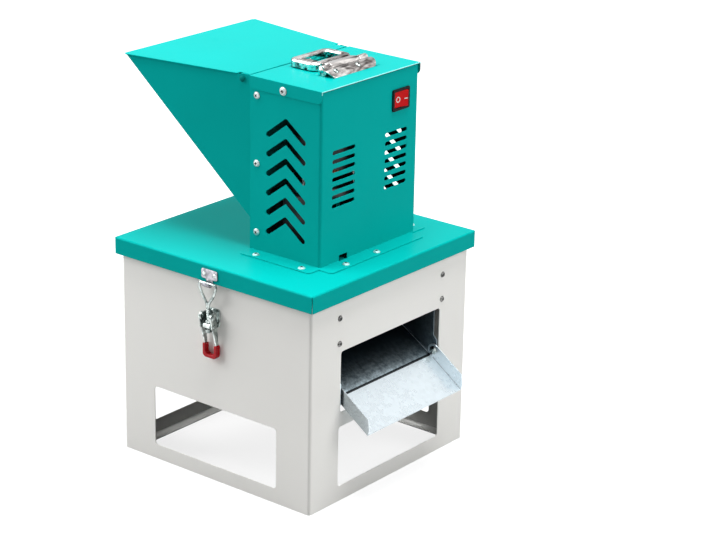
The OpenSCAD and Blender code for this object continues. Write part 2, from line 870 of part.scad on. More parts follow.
// identical pan-head screws: cap, hopper sides and feet
module head_screws() {
    color(ZINC) placed() {
        for (s = [-1, 1]) {
            side = s < 0 ? tower_l : tower_r;
            translate([side + s * sheet, tower_rear - cap_screw_y, cap_z - cap_screw_drop])
                rotate([0, s * 90, 0]) pan_head(5, 2.2);
            for (drop = seam_screw_drops) translate([side, tower_rear - seam_screw_y, cap_z - drop])
                rotate([0, s * 90, 0]) head_screw();
            for (y = foot_screw_y) translate([side + s * foot_screw_out, tower_rear - y, head_z + sheet])
                head_screw();
        }
        for (x = foot_screw_x)
            translate([tower_x + x, tower_front - foot_screw_out, head_z + sheet]) head_screw();
    }
}

module head_screw() {
    pan_head(4.2, 2);
}

// ---------- hopper ----------

// plan of the hopper behind the tower, shrunk by a wall
module hopper2d(wall) {
    w = tower_w / 2 - sheet - wall;
    y0 = tower_rear;
    y1 = tower_rear + hopper_d;
    translate([tower_x, 0]) polygon([
        [-w, y0], [w, y0], [w + hopper_flare, y1], [-w - hopper_flare, y1]
    ]);
}

module hopper_body() {
    z0 = head_z + hopper_z;
    z1 = cap_z - sheet - CLEAR;
    y0 = tower_rear;
    y1 = tower_rear + hopper_d;
    slope = atan2(cap_z - z0, hopper_d);
    rise = sheet / cos(slope);
    tab = 18;
    lip = 12;
    color(TEAL) placed() difference() {
        union() {
            intersection() {
                along_z(z0 - 5, z1) difference() {
                    hopper2d(0);
                    hopper2d(sheet);
                }
                along_x(-base_w, base_w) polygon([[y0, z0], [y1, cap_z], [y0, cap_z]]);
            }
            intersection() {
                along_z(z0 - 5, z1) hopper2d(0);
                along_x(-base_w, base_w)
                    polygon([[y0, z0], [y1, cap_z], [y1 - rise, cap_z], [y0, z0 + rise]]);
            }
            intersection() {
                along_z(z1 - 1, cap_z) difference() {
                    hopper2d(0);
                    hopper2d(sheet);
                }
                along_x(-base_w, base_w) lid_shoulder2d();
            }
            for (x = [tower_l + sheet, tower_r - 2 * sheet])
                translate([x, y0 - tab, z0 - 16]) cube([sheet, tab, z1 - z0 + 6]);
            translate([tower_l + 1.5 * sheet, wall_y, z0 - lip])
                cube([tower_w - 3 * sheet, sheet, lip + rise]);
            translate([tower_l + 1.5 * sheet, wall_y, z0]) cube([tower_w - 3 * sheet, y0 - wall_y + 0.2, rise]);
        }
        translate([-base_w, y0 + lid_pivot_y, cap_z - lid_pivot_z])
            rotate([0, 90, 0]) cylinder(r = pin_r, h = 2 * base_w);
    }
}

// raised shoulder of the hopper's side, round the lid's pin and level with the lid
module lid_shoulder2d() {
    translate([tower_rear + lid_pivot_y, cap_z - lid_pivot_z]) circle(lid_pivot_z);
    translate([tower_rear, cap_z - 2 * lid_pivot_z]) square([lid_pivot_y, 2 * lid_pivot_z]);
}

module hopper_lid() {
    w = tower_w / 2 + lid_over - sheet;
    y0 = tower_rear + lid_gap;
    y1 = tower_rear + hopper_d + lid_over;
    ear = 6;
    notch = tower_rear + lid_pivot_y + 6.8;
    in = tower_w / 2 - 2 * sheet - 0.4;
    color(TEAL) placed() {
        along_z(cap_z - sheet, cap_z) translate([tower_x, 0]) {
            translate([-in, y0]) square([2 * in, notch - y0 + 1]);
            difference() {
                polygon([
                    [-w, y0], [w, y0], [w + hopper_flare, y1 - 3], [w + hopper_flare - 3, y1],
                    [3 - w - hopper_flare, y1], [-w - hopper_flare, y1 - 3]
                ]);
                translate([-base_w, y0 - 1]) square([2 * base_w, notch - y0 + 1]);
            }
        }
        for (s = [-1, 1]) {
            x = tower_x + s * (tower_w / 2 - 3 * sheet);
            difference() {
                along_x(x - sheet / 2, x + sheet / 2) translate([tower_rear + lid_pivot_y, cap_z - lid_pivot_z]) {
                    circle(ear - 1);
                    translate([-4, 0]) square([9, lid_pivot_z]);
                }
                translate([x - 5, tower_rear + lid_pivot_y, cap_z - lid_pivot_z])
                    rotate([0, 90, 0]) cylinder(r = pin_r + FIT, h = 10);
            }
        }
    }
}

module lid_pins() {
    out = tower_w / 2 + lid_pivot_y * hopper_flare / hopper_d + 0.2;
    in = tower_w / 2 - 3 * sheet - 1.8;
    color(ZINC) placed() for (s = [-1, 1]) translate([tower_x, tower_rear + lid_pivot_y, cap_z - lid_pivot_z])
        rotate([0, s * 90, 0]) {
            translate([0, 0, in]) cylinder(r = pin_r, h = out - in);
            translate([0, 0, out]) pan_head(pin_r * 1.5, 1.4);
        }
}

// ---------- rocker switch ----------

module on_switch() {
    placed() translate([tower_x + switch_x, tower_front, cap_z - switch_drop])
        rotate([90, 0, 0]) children();
}

module switch_housing() {
    lip = 2;
    depth = 18;
    w = bezel_w - 4;
    h = bezel_h - 4;
    color(BLACK) on_switch() difference() {
        union() {
            linear_extrude(lip) plate2d(bezel_w, bezel_h, 2);
            translate([0, 0, -depth]) linear_extrude(depth) square([w, h], center = true);
        }
        translate([0, 0, -depth + 2]) linear_extrude(depth + lip)
            square([w - 2.4, h - 2.4], center = true);
    }
}

// rocker on an upright axis, resting with its left side pressed
module switch_rocker() {
    w = bezel_w - 4 - 2.4 - 2 * CLEAR - 0.4;
    h = bezel_h - 4 - 2.4 - 2 * CLEAR;
    color(RED) on_switch() translate([0, 0, -3]) rotate([0, -rocker_throw / 2, 0])
        translate([0, h / 2, 0]) rotate([90, 0, 0]) linear_extrude(h) intersection() {
            circle(w / 2);
            polygon([[-w, -6], [w, -6], [w, 7.3], [0, 4.4], [-w, 7.3]]);
        }
}

module switch_terminals() {
    color("#c9a646") on_switch() for (x = [-7, 7], y = [-5, 5])
        translate([x - 0.4, y - 2.4, -28]) cube([0.8, 4.8, 10]);
}

// ---------- folding handle ----------

module on_pin() {
    placed() translate([handle_mid, pin_y, cap_z + pin_up]) children();
}

// front plate: half an arch, its rear edge carried up to two knuckles
module handle_plate() {
    half_w = handle_w / 2;
    color(CHROME) on_pin() {
        intersection() {
            along_x(-half_w, half_w) half_arch2d(1.6);
            along_z(-pin_up - 1, 10) window2d(-half_w, plate_rear - plate_d, half_w, 20, 9);
        }
        for (s = [-1, 1]) translate([s * (half_w - knuckle_in - knuckle_len / 2), 0, 0]) difference() {
            union() {
                rotate([0, 90, 0]) cylinder(r = knuckle_r, h = knuckle_len, center = true);
                along_x(-knuckle_len / 2, knuckle_len / 2)
                    translate([plate_rear - 1.2, -pin_up]) square([1.2 - plate_rear, pin_up + 1]);
            }
            rotate([0, 90, 0]) cylinder(r = pin_r, h = knuckle_len + 2, center = true);
        }
    }
}

// section of the front plate, from its foot on the cap up to the hinge
module half_arch2d(t) {
    translate([plate_rear, plate_rise - pin_up - plate_r]) intersection() {
        difference() {
            circle(plate_r, $fn = 96);
            circle(plate_r - t, $fn = 96);
        }
        translate([-plate_d, plate_r - plate_rise]) square([plate_d, plate_rise]);
    }
}

module handle_pin() {
    reach = handle_w / 2 - knuckle_in + 0.6;
    color(CHROME) on_pin() {
        rotate([0, 90, 0]) cylinder(r = pin_r, h = 2 * reach, center = true);
        for (s = [-1, 1]) translate([s * reach, 0, 0]) rotate([0, s * 90, 0]) pan_head(pin_r * 1.4, 1.2);
    }
}

// bail: a barrel on the pin and a frame of rounded bar, half closed by a web, folded back over the cap
module handle_bail() {
    barrel = handle_w - 2 * (knuckle_in + knuckle_len + CLEAR);
    z0 = 1 - pin_up;
    soft = 1.2;
    color(CHROME) on_pin() {
        difference() {
            union() {
                rotate([0, 90, 0]) cylinder(r = knuckle_r, h = barrel, center = true);
                along_x(-barrel / 2, barrel / 2) polygon([
                    [0, knuckle_r], [bail_front + 3, z0 + bail_t - 1], [bail_front + 3, z0], [0, -knuckle_r]
                ]);
            }
            rotate([0, 90, 0]) cylinder(r = pin_r + FIT, h = barrel + 2, center = true);
        }
        along_z(z0, z0 + bail_t - soft) difference() {
            bail2d(0);
            bail2d(bail_band);
        }
        along_z(z0, z0 + bail_t) difference() {
            bail2d(soft);
            bail2d(bail_band - soft);
        }
        along_z(z0 + 1.5, z0 + 3.5) difference() {
            bail2d(soft);
            translate([-4, bail_front + bail_band]) square([bail_w, bail_len - bail_front - 2 * bail_band]);
        }
    }
}

// outline of the bail's frame, shrunk by a band
module bail2d(band) {
    w = bail_w / 2 - band;
    window2d(-w, bail_front + band, w, bail_len - band, max(10 - band, 3));
}

module handle_screws() {
    tilt = 30;
    color(ZINC) on_pin() for (x = [-28.5, 10.5])
        translate([x, plate_rear - plate_r * sin(tilt), plate_rise - pin_up - plate_r * (1 - cos(tilt))])
            rotate([tilt, 0, 0]) pan_head(3.4, 1.6);
}

// ---------- motor ----------

module bearing_housing() {
    color(ZINC) placed() on_shaft() translate([0, 0, head_z]) difference() {
        cylinder(r = bearing_r + 5.5, h = bearing_h + 3);
        translate([0, 0, 3]) cylinder(r = bearing_r, h = bearing_h + 1);
        translate([0, 0, -1]) cylinder(r = shaft_r + 2, h = 6);
    }
}

module bearings() {
    color("#9aa0a5") placed() on_shaft()
        for (z = [head_z + 3, bell_z + 2, top_bell_z + 2]) translate([0, 0, z])
            ring(shaft_r + FIT, bearing_r, bearing_h);
}

// folded bridge that holds the motor over the feed duct
module motor_bracket() {
    t = 3;
    x = throat_w + 5;
    y0 = -stator_r + 4;
    depth = 2 * (stator_r - 14);
    foot = 13;
    color(ZINC) placed() on_shaft() translate([0, y0, head_z]) difference() {
        union() {
            for (s = [-1, 1]) {
                translate([s > 0 ? x : -x - t, 0, 0]) cube([t, depth, bracket_h]);
                translate([s > 0 ? x : -x - foot, 0, 0]) cube([foot, depth, t]);
            }
            translate([-x - t, 0, bracket_h - t]) cube([2 * (x + t), depth, t]);
        }
        translate([0, -y0, bracket_h - t - 1]) cylinder(r = shaft_r + 6, h = t + 2);
    }
}

// cast end bell with a bearing seat and four air windows
module endbell(flip) {
    difference() {
        cylinder(r = stator_r, h = bell_h);
        translate([0, 0, 2]) cylinder(r = bearing_r, h = bell_h);
        translate([0, 0, -1]) cylinder(r = shaft_r + 2, h = bell_h);
        for (a = [0:90:270]) translate([0, 0, -1])
            sector(bearing_r + 5, bolt_circle - 5, a + 15, a + 75, bell_h + 2);
        for (a = [0:90:270]) rotate(a) translate([bolt_circle, 0, -1]) cylinder(r = 2, h = bell_h + 2);
    }
}

module lower_endbell() {
    color(ZINC) placed() on_shaft() translate([0, 0, bell_z]) endbell();
}

module upper_endbell() {
    color(ZINC) placed() on_shaft() translate([0, 0, top_bell_z]) endbell();
}

// laminated stator with two poles and two coil windows
module stator_core() {
    color("#6f7478") placed() on_shaft() translate([0, 0, stator_z]) difference() {
        cylinder(r = stator_r, h = stator_h);
        translate([0, 0, -1]) cylinder(r = armature_r + 0.8, h = stator_h + 2);
        for (a = [90, 270]) translate([0, 0, -1])
            sector(armature_r - 1, stator_r - 7, a - 35, a + 35, stator_h + 2);
        for (a = [0:90:270]) rotate(a) translate([bolt_circle, 0, -1]) cylinder(r = 2, h = stator_h + 2);
    }
}

// two saddle coils: their legs lie in the windows, their ends bridge the poles
module field_windings() {
    r0 = armature_r + 2;
    r1 = stator_r - 7.5;
    span = 88;
    leg = 29;
    color(COPPER) placed() on_shaft() for (a = [0, 180]) rotate(a) {
        for (z = [stator_z - overhang, stator_z + stator_h]) translate([0, 0, z])
            sector(r0, r1, -span, span, overhang);
        for (start = [1 - span, span - leg - 1]) translate([0, 0, stator_z - 1])
            sector(r0 + 0.5, r1 - 0.5, start, start + leg, stator_h + 2);
    }
}

module brush_holders() {
    r0 = armature_r * 0.53 + 1.6;
    wall = 3;
    color("#5a3a22") placed() on_shaft() for (a = [0, 180]) rotate(a) difference() {
        translate([r0, -brush_w / 2 - wall, com_z + 1])
            cube([brush_len + 8, brush_w + 2 * wall, top_bell_z - com_z - 1]);
        translate([r0 - 1, -brush_w / 2, com_z + 3]) cube([brush_len + 2, brush_w, brush_h]);
    }
}

module carbon_brushes() {
    r0 = armature_r * 0.53 + CLEAR;
    color("#2c2c2e") placed() on_shaft() for (a = [0, 180]) rotate(a)
        translate([r0, -brush_w / 2, com_z + 3]) cube([brush_len, brush_w, brush_h]);
}

module motor_bolts() {
    color(ZINC) placed() on_shaft() for (a = [0:90:270]) rotate(a) translate([bolt_circle, 0, 0]) {
        translate([0, 0, bell_z]) cylinder(r = 2, h = top_bell_z + bell_h - bell_z);
        translate([0, 0, top_bell_z + bell_h]) cylinder(r = 3.4, h = 3, $fn = 6);
    }
}

// ---------- rotor ----------

module rotor_shaft() {
    low = blade_z - washer_t - nut_h - 1;
    top = top_bell_z + bell_h + 2;
    color("#c3c7ca") placed() on_shaft() translate([0, 0, low]) cylinder(r = shaft_r, h = top - low);
}

module armature_core() {
    color("#6f7478") placed() on_shaft() translate([0, 0, stator_z]) difference() {
        cylinder(r = armature_r, h = stator_h);
        translate([0, 0, -1]) cylinder(r = shaft_r, h = stator_h + 2);
        for (i = [0:bars - 1]) rotate(i * 360 / bars) translate([armature_r - 5, -1, -1])
            cube([8, 2, stator_h + 2]);
    }
}

module armature_winding() {
    color(COPPER) placed() on_shaft() for (z = [stator_z - overhang, stator_z + stator_h])
        translate([0, 0, z]) ring(shaft_r, armature_r - 3, overhang);
}

module commutator() {
    r = armature_r * 0.53;
    color(COPPER) placed() on_shaft() translate([0, 0, com_z]) difference() {
        cylinder(r = r, h = com_h);
        translate([0, 0, -1]) cylinder(r = shaft_r, h = com_h + 2);
        for (i = [0:bars - 1]) rotate(i * 360 / bars) translate([r - 1.5, -0.4, -1])
            cube([4, 0.8, com_h + 2]);
    }
}

module cooling_fan() {
    r = bolt_circle - 4;
    color("#2f3236") placed() on_shaft() translate([0, 0, fan_z]) {
        ring(shaft_r, 12, fan_h);
        ring(11, r, 1.5);
        for (i = [0:8]) rotate(i * 40) translate([11.5, 0, 0]) rotate(20)
            cube([r - 14, 1.5, fan_h]);
    }
}

module blade_hub() {
    color(ZINC) placed() on_shaft() translate([0, 0, blade_z + blade_t]) ring(shaft_r, 13, hub_h);
}

// flat bar with a round centre hole, arms stepped down and ends cut at an angle
module blade() {
    l = blade_len / 2;
    step_x = 22;
    low = blade_z - blade_step;
    color("#c9ccce") placed() on_shaft() difference() {
        intersection() {
            along_y(-blade_w, blade_w) polygon([
                [-l, low], [-step_x - 7, low], [-step_x, blade_z],
                [step_x, blade_z], [step_x + 7, low], [l, low],
                [l, low + blade_t], [step_x + 8, low + blade_t], [step_x + 1, blade_z + blade_t],
                [-step_x - 1, blade_z + blade_t], [-step_x - 8, low + blade_t], [-l, low + blade_t]
            ]);
            along_z(blade_z - 20, blade_z + 20) polygon([
                [-l, -blade_w / 2 + 8], [8 - l, -blade_w / 2], [l, -blade_w / 2],
                [l, blade_w / 2 - 8], [l - 8, blade_w / 2], [-l, blade_w / 2]
            ]);
        }
        translate([0, 0, blade_z - 1]) cylinder(r = shaft_r, h = blade_t + 2);
    }
}

module blade_nut() {
    color(ZINC) placed() on_shaft() difference() {
        union() {
            translate([0, 0, blade_z - washer_t]) cylinder(r = 12, h = washer_t);
            translate([0, 0, blade_z - washer_t - nut_h]) cylinder(r = 10, h = nut_h, $fn = 6);
        }
        translate([0, 0, blade_z - 20]) cylinder(r = shaft_r, h = 30);
    }
}

base_shell();
base_deck();
discharge_pan();
pan_screws();
chute_rivets();
chute();
latch_bracket(-1);  // latch_bracket_left
latch_bracket(1);  // latch_bracket_right
latch_screws();
latch_pivots();
latch_lever(-1);  // latch_lever_left
latch_lever(1);  // latch_lever_right
latch_grip(-1);  // latch_grip_left
latch_grip(1);  // latch_grip_right
latch_trunnion(-1);  // latch_trunnion_left
latch_trunnion(1);  // latch_trunnion_right
latch_hook(-1);  // latch_hook_left
latch_hook(1);  // latch_hook_right
latch_nuts(-1);  // latch_nuts_left
latch_nuts(1);  // latch_nuts_right
latch_keeper(-1);  // latch_keeper_left
latch_keeper(1);  // latch_keeper_right
keeper_rivets();
screen_tray();
head_plate();
chamber_seal();
tower_shell();
tower_back();
feed_throat();
tower_cap();
head_screws();
hopper_body();
hopper_lid();
lid_pins();
switch_housing();
switch_rocker();
switch_terminals();
handle_plate();
handle_pin();
handle_bail();
handle_screws();
bearing_housing();
bearings();
motor_bracket();
lower_endbell();
stator_core();
field_windings();
upper_endbell();
brush_holders();
carbon_brushes();
motor_bolts();
rotor_shaft();
armature_core();
armature_winding();
commutator();
cooling_fan();
blade_hub();
blade();
blade_nut();
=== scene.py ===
import json
import math

import bmesh
import bpy
from mathutils import Matrix, Vector
from mathutils.bvhtree import BVHTree


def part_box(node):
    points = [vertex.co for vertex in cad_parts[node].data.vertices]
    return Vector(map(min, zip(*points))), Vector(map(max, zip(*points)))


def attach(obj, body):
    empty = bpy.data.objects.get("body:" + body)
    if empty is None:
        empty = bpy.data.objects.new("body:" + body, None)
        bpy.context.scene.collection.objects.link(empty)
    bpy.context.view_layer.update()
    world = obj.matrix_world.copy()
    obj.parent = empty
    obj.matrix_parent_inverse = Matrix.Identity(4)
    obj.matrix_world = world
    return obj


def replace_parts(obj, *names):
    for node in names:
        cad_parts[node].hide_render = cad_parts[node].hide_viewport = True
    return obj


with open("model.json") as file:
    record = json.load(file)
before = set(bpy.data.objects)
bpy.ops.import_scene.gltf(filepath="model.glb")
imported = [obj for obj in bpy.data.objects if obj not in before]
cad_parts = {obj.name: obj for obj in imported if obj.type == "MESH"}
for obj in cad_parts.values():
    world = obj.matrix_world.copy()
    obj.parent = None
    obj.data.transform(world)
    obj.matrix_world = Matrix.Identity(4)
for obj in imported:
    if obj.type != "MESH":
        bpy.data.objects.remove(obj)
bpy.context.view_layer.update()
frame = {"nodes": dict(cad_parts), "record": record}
record = frame["record"]
nodes = frame["nodes"]
mm = 0.001
slotOf = {part["node"]: part["material_slot"] for part in record["subparts"]}
bodyOf = {node: body for body, held in record["behaviour"]["bodies"].items() for node in held}
print("frame loaded:", len(nodes), "nodes")


class Wire:  # a socket that does sums
    def __init__(self, graph, socket):
        self.graph = graph
        self.socket = socket

    def sum(self, operation, *values):
        return self.graph.node("ShaderNodeMath", {"operation": operation}, list(values))

    def __add__(self, other):
        return self.sum("ADD", self, other)

    def __radd__(self, other):
        return self.sum("ADD", other, self)

    def __sub__(self, other):
        return self.sum("SUBTRACT", self, other)

    def __rsub__(self, other):
        return self.sum("SUBTRACT", other, self)

    def __mul__(self, other):
        return self.sum("MULTIPLY", self, other)

    def __rmul__(self, other):
        return self.sum("MULTIPLY", other, self)

    def __truediv__(self, other):
        return self.sum("DIVIDE", self, other)

    def __pow__(self, other):
        return self.sum("POWER", self, other)

    def over(self, limit):
        return self.sum("GREATER_THAN", self, limit)

    def sine(self):
        return self.sum("SINE", self)

    def spread(self, low, high, toLow=0.0, toHigh=1.0):  # maps low..high to toLow..toHigh, clamped
        return self.graph.node("ShaderNodeMapRange", {"clamp": True}, [self, low, high, toLow, toHigh])

    def of(self, name):  # another output of the same node
        return Wire(self.graph, self.socket.node.outputs[name])


class Graph:  # a shader or geometry node tree
    def __init__(self, tree):
        self.tree = tree

    def plug(self, socket, value):
        if isinstance(value, Wire):
            self.tree.links.new(value.socket, socket)
        elif isinstance(value, (tuple, Vector)) and socket.type == "RGBA" and len(value) == 3:
            socket.default_value = (*value, 1.0)
        else:
            socket.default_value = value

    def node(self, kind, settings=None, inputs=None, out=None):
        made = self.tree.nodes.new(kind)
        for key, value in (settings or {}).items():
            setattr(made, key, value)
        live = [s for s in made.inputs if not s.is_unavailable]
        if isinstance(inputs, list):
            for socket, value in zip(live, inputs):
                if value is not None:
                    self.plug(socket, value)
        else:
            for name, value in (inputs or {}).items():
                self.plug(next(s for s in live if s.name == name), value)
        outs = [s for s in made.outputs if not s.is_unavailable]
        if not outs:
            return made
        return Wire(self, made.outputs[out] if out else outs[0])


class Finish(Graph):  # a material under construction
    def __init__(self, name):
        self.material = bpy.data.materials.new(name)
        self.material.use_nodes = True
        super().__init__(self.material.node_tree)
        self.shader = self.tree.nodes["Principled BSDF"]

    def set(self, **sockets):
        for key, value in sockets.items():
            name = "".join(" " + c if c.isupper() else c for c in key).strip().title()
            name = {"Ior": "IOR", "Specular Ior Level": "Specular IOR Level"}.get(name, name)
            self.plug(self.shader.inputs[name], value)

    def place(self):
        return self.node("ShaderNodeTexCoord", out="Object")

    def noise(self, scale, detail=3.0, roughness=0.5, at=None, distortion=0.0):
        return self.node("ShaderNodeTexNoise", {}, {
            "Vector": at or self.place(), "Scale": scale, "Detail": detail,
            "Roughness": roughness, "Distortion": distortion})

    def stretched(self, scale):
        return self.node("ShaderNodeMapping", {}, {"Vector": self.place(), "Scale": Vector(scale)})

    def mix(self, factor, low, high):
        return self.node("ShaderNodeMix", {"data_type": "RGBA"}, {"Factor": factor, "A": low, "B": high})

    def bump(self, height, strength, distance):
        return self.node("ShaderNodeBump", {}, {
            "Height": height, "Strength": strength, "Distance": distance})

    def inBox(self, low, high):  # 1 inside a box in metres; None leaves a side open
        place = self.node("ShaderNodeSeparateXYZ", {}, [self.place()])
        mask = 1.0
        for axis, least, most in zip("XYZ", low, high):
            if least is not None:
                mask = place.of(axis).over(least) * mask
            if most is not None:
                mask = (1.0 - place.of(axis).over(most)) * mask
        return mask

    def zoned(self, colour, zones):  # paints boxes of space in other tones: mostly painted shade and highlights, some the parts' own colour
        for low, high, tone, amount in zones:
            colour = self.mix(self.inBox(low, high) * amount, colour, tone)
        return colour


def shade(colour, factor, lift=0.0):
    return tuple(min(1.0, c * factor + lift) for c in colour)


def paintFinish(name, colour, shine, gloss, mottle=0.03, zones=()):
    paint = Finish(name)
    drift = paint.noise(9.0, 2.0)
    peel = paint.noise(1100.0, 2.0, 0.45)
    dust = paint.noise(60.0, 6.0, 0.65).spread(0.56, 0.80)
    body = paint.mix(drift.spread(0.3, 0.7), shade(colour, 1.0 - mottle), shade(colour, 1.0 + mottle))
    dusty = paint.mix(dust * 0.05, body, shade(colour, 0.9, 0.03))
    paint.set(
        baseColor=paint.zoned(dusty, zones),
        roughness=shine + 0.06 * dust + 0.04 * drift,
        normal=paint.bump(peel, 0.08, 0.0002),
        specularIorLevel=gloss, ior=1.2)
    return paint.material


def spangleFinish(name, tone, shine, contrast=0.05, flank=None, zones=()):
    sheet = Finish(name)
    place = sheet.place()
    warp = sheet.noise(60.0, 3.0, at=place)
    bent = sheet.node("ShaderNodeVectorMath", {"operation": "ADD"},
                      [place, sheet.node("ShaderNodeVectorMath", {"operation": "SCALE"},
                                         {"Vector": warp.of("Color"), "Scale": 0.008})])
    cells = sheet.node("ShaderNodeTexVoronoi", {"feature": "F1"}, {"Vector": bent, "Scale": 210.0})
    facet = sheet.node("ShaderNodeSeparateColor", {}, [cells.of("Color")])
    feather = sheet.noise(520.0, 4.0, 0.7, at=bent)
    grain = facet * 0.6 + feather * 0.4
    specks = sheet.node("ShaderNodeTexVoronoi", {"feature": "F1"}, {"Vector": place, "Scale": 105.0})
    speck = 1.0 - specks.of("Distance").spread(0.02, 0.09)
    scuff = sheet.noise(30.0, 6.0, 0.7, at=sheet.stretched((1.0, 0.18, 0.18))).spread(0.5, 0.8)
    body = sheet.mix(grain.spread(0.2, 0.85), shade(tone, 1.0 - contrast), tone)
    worn = sheet.mix(scuff * 0.3, body, shade(tone, 0.88))
    spotted = sheet.mix(speck * 0.15, worn, (0.22, 0.24, 0.26))
    if flank:  # the outer faces beyond this half width get painted shade in streaks
        across = sheet.node("ShaderNodeSeparateXYZ", {}, [place])
        shadeStreaks = sheet.noise(500.0, 4.0, 0.6, at=sheet.stretched((1.0, 0.06, 0.06)))
        outsideShade = across.sum("ABSOLUTE", across).spread(flank - 0.0004, flank)
        # painted shade on the outer faces, in streaks
        spotted = sheet.mix(outsideShade * (0.55 + shadeStreaks * 0.45), spotted, shade(tone, 0.52))
    sheet.set(
        baseColor=sheet.zoned(spotted, zones),
        metallic=1.0,
        roughness=shine + 0.06 * facet + 0.06 * feather + 0.08 * scuff,
        normal=sheet.bump(grain, 0.05, 0.0002))
    return sheet.material


def panFinish(name, lip, deep, zones):  # dull sheet scored by falling grain; its colour is painted shade deep inside and painted reflections brightening towards its lip and its left side
    sheet = Finish(name)
    place = sheet.node("ShaderNodeSeparateXYZ", {}, [sheet.place()])
    score = sheet.noise(260.0, 5.0, 0.65, at=sheet.stretched((1.0, 0.05, 0.05)))
    cross = sheet.noise(340.0, 4.0, 0.6, at=sheet.stretched((0.05, 1.0, 1.0)))
    haze = sheet.noise(24.0, 3.0, 0.5)
    blotch = sheet.noise(170.0, 5.0, 0.7).spread(0.38, 0.62, 0.55, 1.35)
    near = place.of("Y").spread(lip, deep, 1.0, 0.0) ** 3.4
    left = place.spread(-0.09, 0.09, 1.0, 0.45)
    lit = (near * left * blotch * (0.20 + score * 0.8 + cross * 0.8) + haze * 0.02).spread(0.0, 1.0)
    # painted shade and painted reflections, between a dark and a bright sheet
    paintedLightSheet = sheet.mix(lit, (0.013, 0.024, 0.034), (0.76, 0.92, 1.0))
    sheet.set(
        baseColor=sheet.zoned(paintedLightSheet, zones),
        metallic=1.0,
        roughness=0.28 + 0.08 * score + 0.08 * cross,
        normal=sheet.bump(score * 0.5 + cross * 0.5, 0.06, 0.0002))
    return sheet.material


def metalFinish(name, colour, shine, brush=(1.0, 1.0, 1.0), grain=0.05, scale=600.0, depth=0.05):
    metal = Finish(name)
    streak = metal.noise(scale, 4.0, 0.6, at=metal.stretched(brush))
    haze = metal.noise(70.0, 4.0, 0.6)
    metal.set(
        baseColor=metal.mix(haze.spread(0.3, 0.7) * 0.5 + streak * 0.3, colour, shade(colour, 0.80)),
        metallic=1.0,
        roughness=shine + grain * streak + 0.05 * haze,
        normal=metal.bump(streak, depth, 0.0001))
    return metal.material


def platedFinish(name, low, high, scale, shine, zones=(), metal=1.0):  # streaky painted reflections, with painted shade where it turns away
    plate = Finish(name)
    wave = plate.noise(scale, 2.0, 0.5, distortion=0.8)
    pit = plate.noise(1400.0, 3.0, 0.6)
    edge = plate.node("ShaderNodeLayerWeight", {}, {"Blend": 0.42}).of("Facing")
    # painted reflections: streaks between low and high, and a painted dark rim where the surface turns away
    body = plate.mix(wave.spread(0.36, 0.66), low, high)
    turned = plate.mix(edge.spread(0.30, 0.85) * 0.85, body, shade(low, 0.22))
    plate.set(
        baseColor=plate.zoned(turned, zones),
        metallic=metal,
        roughness=shine + 0.10 * pit,
        normal=plate.bump(wave, 0.30, 0.0006))
    return plate.material


def chromeFinish(name):  # thin bright plate over a rolled strip, its waves in the bump; the streaks and the dark rim in its colour are painted reflections
    chrome = Finish(name)
    wave = chrome.noise(62.0, 3.0, 0.5, at=chrome.stretched((0.40, 1.0, 1.3)), distortion=1.0)
    fine = chrome.noise(190.0, 2.0, 0.5, at=chrome.stretched((0.30, 1.0, 1.0)), distortion=0.6)
    pit = chrome.noise(900.0, 3.0, 0.6)
    # painted reflections: dark and bright streaks, then a painted dark rim where the surface turns away
    streak = (wave * 0.66 + fine * 0.34).spread(0.41, 0.58)
    edge = chrome.node("ShaderNodeLayerWeight", {}, {"Blend": 0.35}).of("Facing")
    body = chrome.mix(streak, (0.06, 0.047, 0.044), (0.95, 0.905, 0.88))
    chrome.set(
        baseColor=chrome.mix(edge.spread(0.40, 0.88) * 0.90, body, (0.04, 0.035, 0.034)),
        metallic=1.0,
        roughness=0.06 + 0.08 * pit,
        normal=chrome.bump(wave, 0.5, 0.0012))
    return chrome.material


def plasticFinish(name, colour, shine, texture=0.08, specular=0.5, coat=0.0):
    plastic = Finish(name)
    grain = plastic.noise(1500.0, 2.0)
    drift = plastic.noise(40.0, 2.0)
    plastic.set(
        baseColor=plastic.mix(drift, shade(colour, 0.9), colour),
        roughness=shine + 0.06 * drift,
        normal=plastic.bump(grain, texture, 0.0001),
        specularIorLevel=specular, coatWeight=coat, coatRoughness=0.06)
    return plastic.material


def laminateFinish(name):  # stacked steel stampings seen from their edges
    stack = Finish(name)
    place = stack.node("ShaderNodeSeparateXYZ", {}, [stack.place()])
    height = place.of("Z")
    lines = (height * (2 * math.pi / 0.0007)).sine().spread(-0.6, 0.6)
    rust = stack.noise(120.0, 5.0, 0.7).spread(0.5, 0.8)
    # dark steel, darkened further: its own colour and painted shade inside the tower
    steel = stack.mix(lines, (0.03, 0.032, 0.035), (0.12, 0.125, 0.13))
    stack.set(baseColor=stack.mix(rust * 0.5, steel, (0.06, 0.04, 0.03)), metallic=0.85,
              roughness=0.42 + 0.2 * rust, normal=stack.bump(lines, 0.4, 0.0002))
    return stack.material


def wireFinish(name):  # enamelled copper turns under varnish
    copper = Finish(name)
    turns = copper.node("ShaderNodeTexWave", {"wave_type": "RINGS", "rings_direction": "Z"}, {
        "Vector": copper.place(), "Scale": 260.0, "Distortion": 0.6, "Detail": 1.0}).of("Fac")
    copper.set(baseColor=copper.mix(turns, (0.05, 0.016, 0.008), (0.24, 0.085, 0.035)), metallic=0.9,
               roughness=0.30 + 0.15 * turns, normal=copper.bump(turns, 0.6, 0.0004))
    return copper.material


teal = (0.0013, 0.423, 0.394)
cream = (0.95, 0.945, 0.912)
zincSheet = (0.755, 0.835, 0.88)

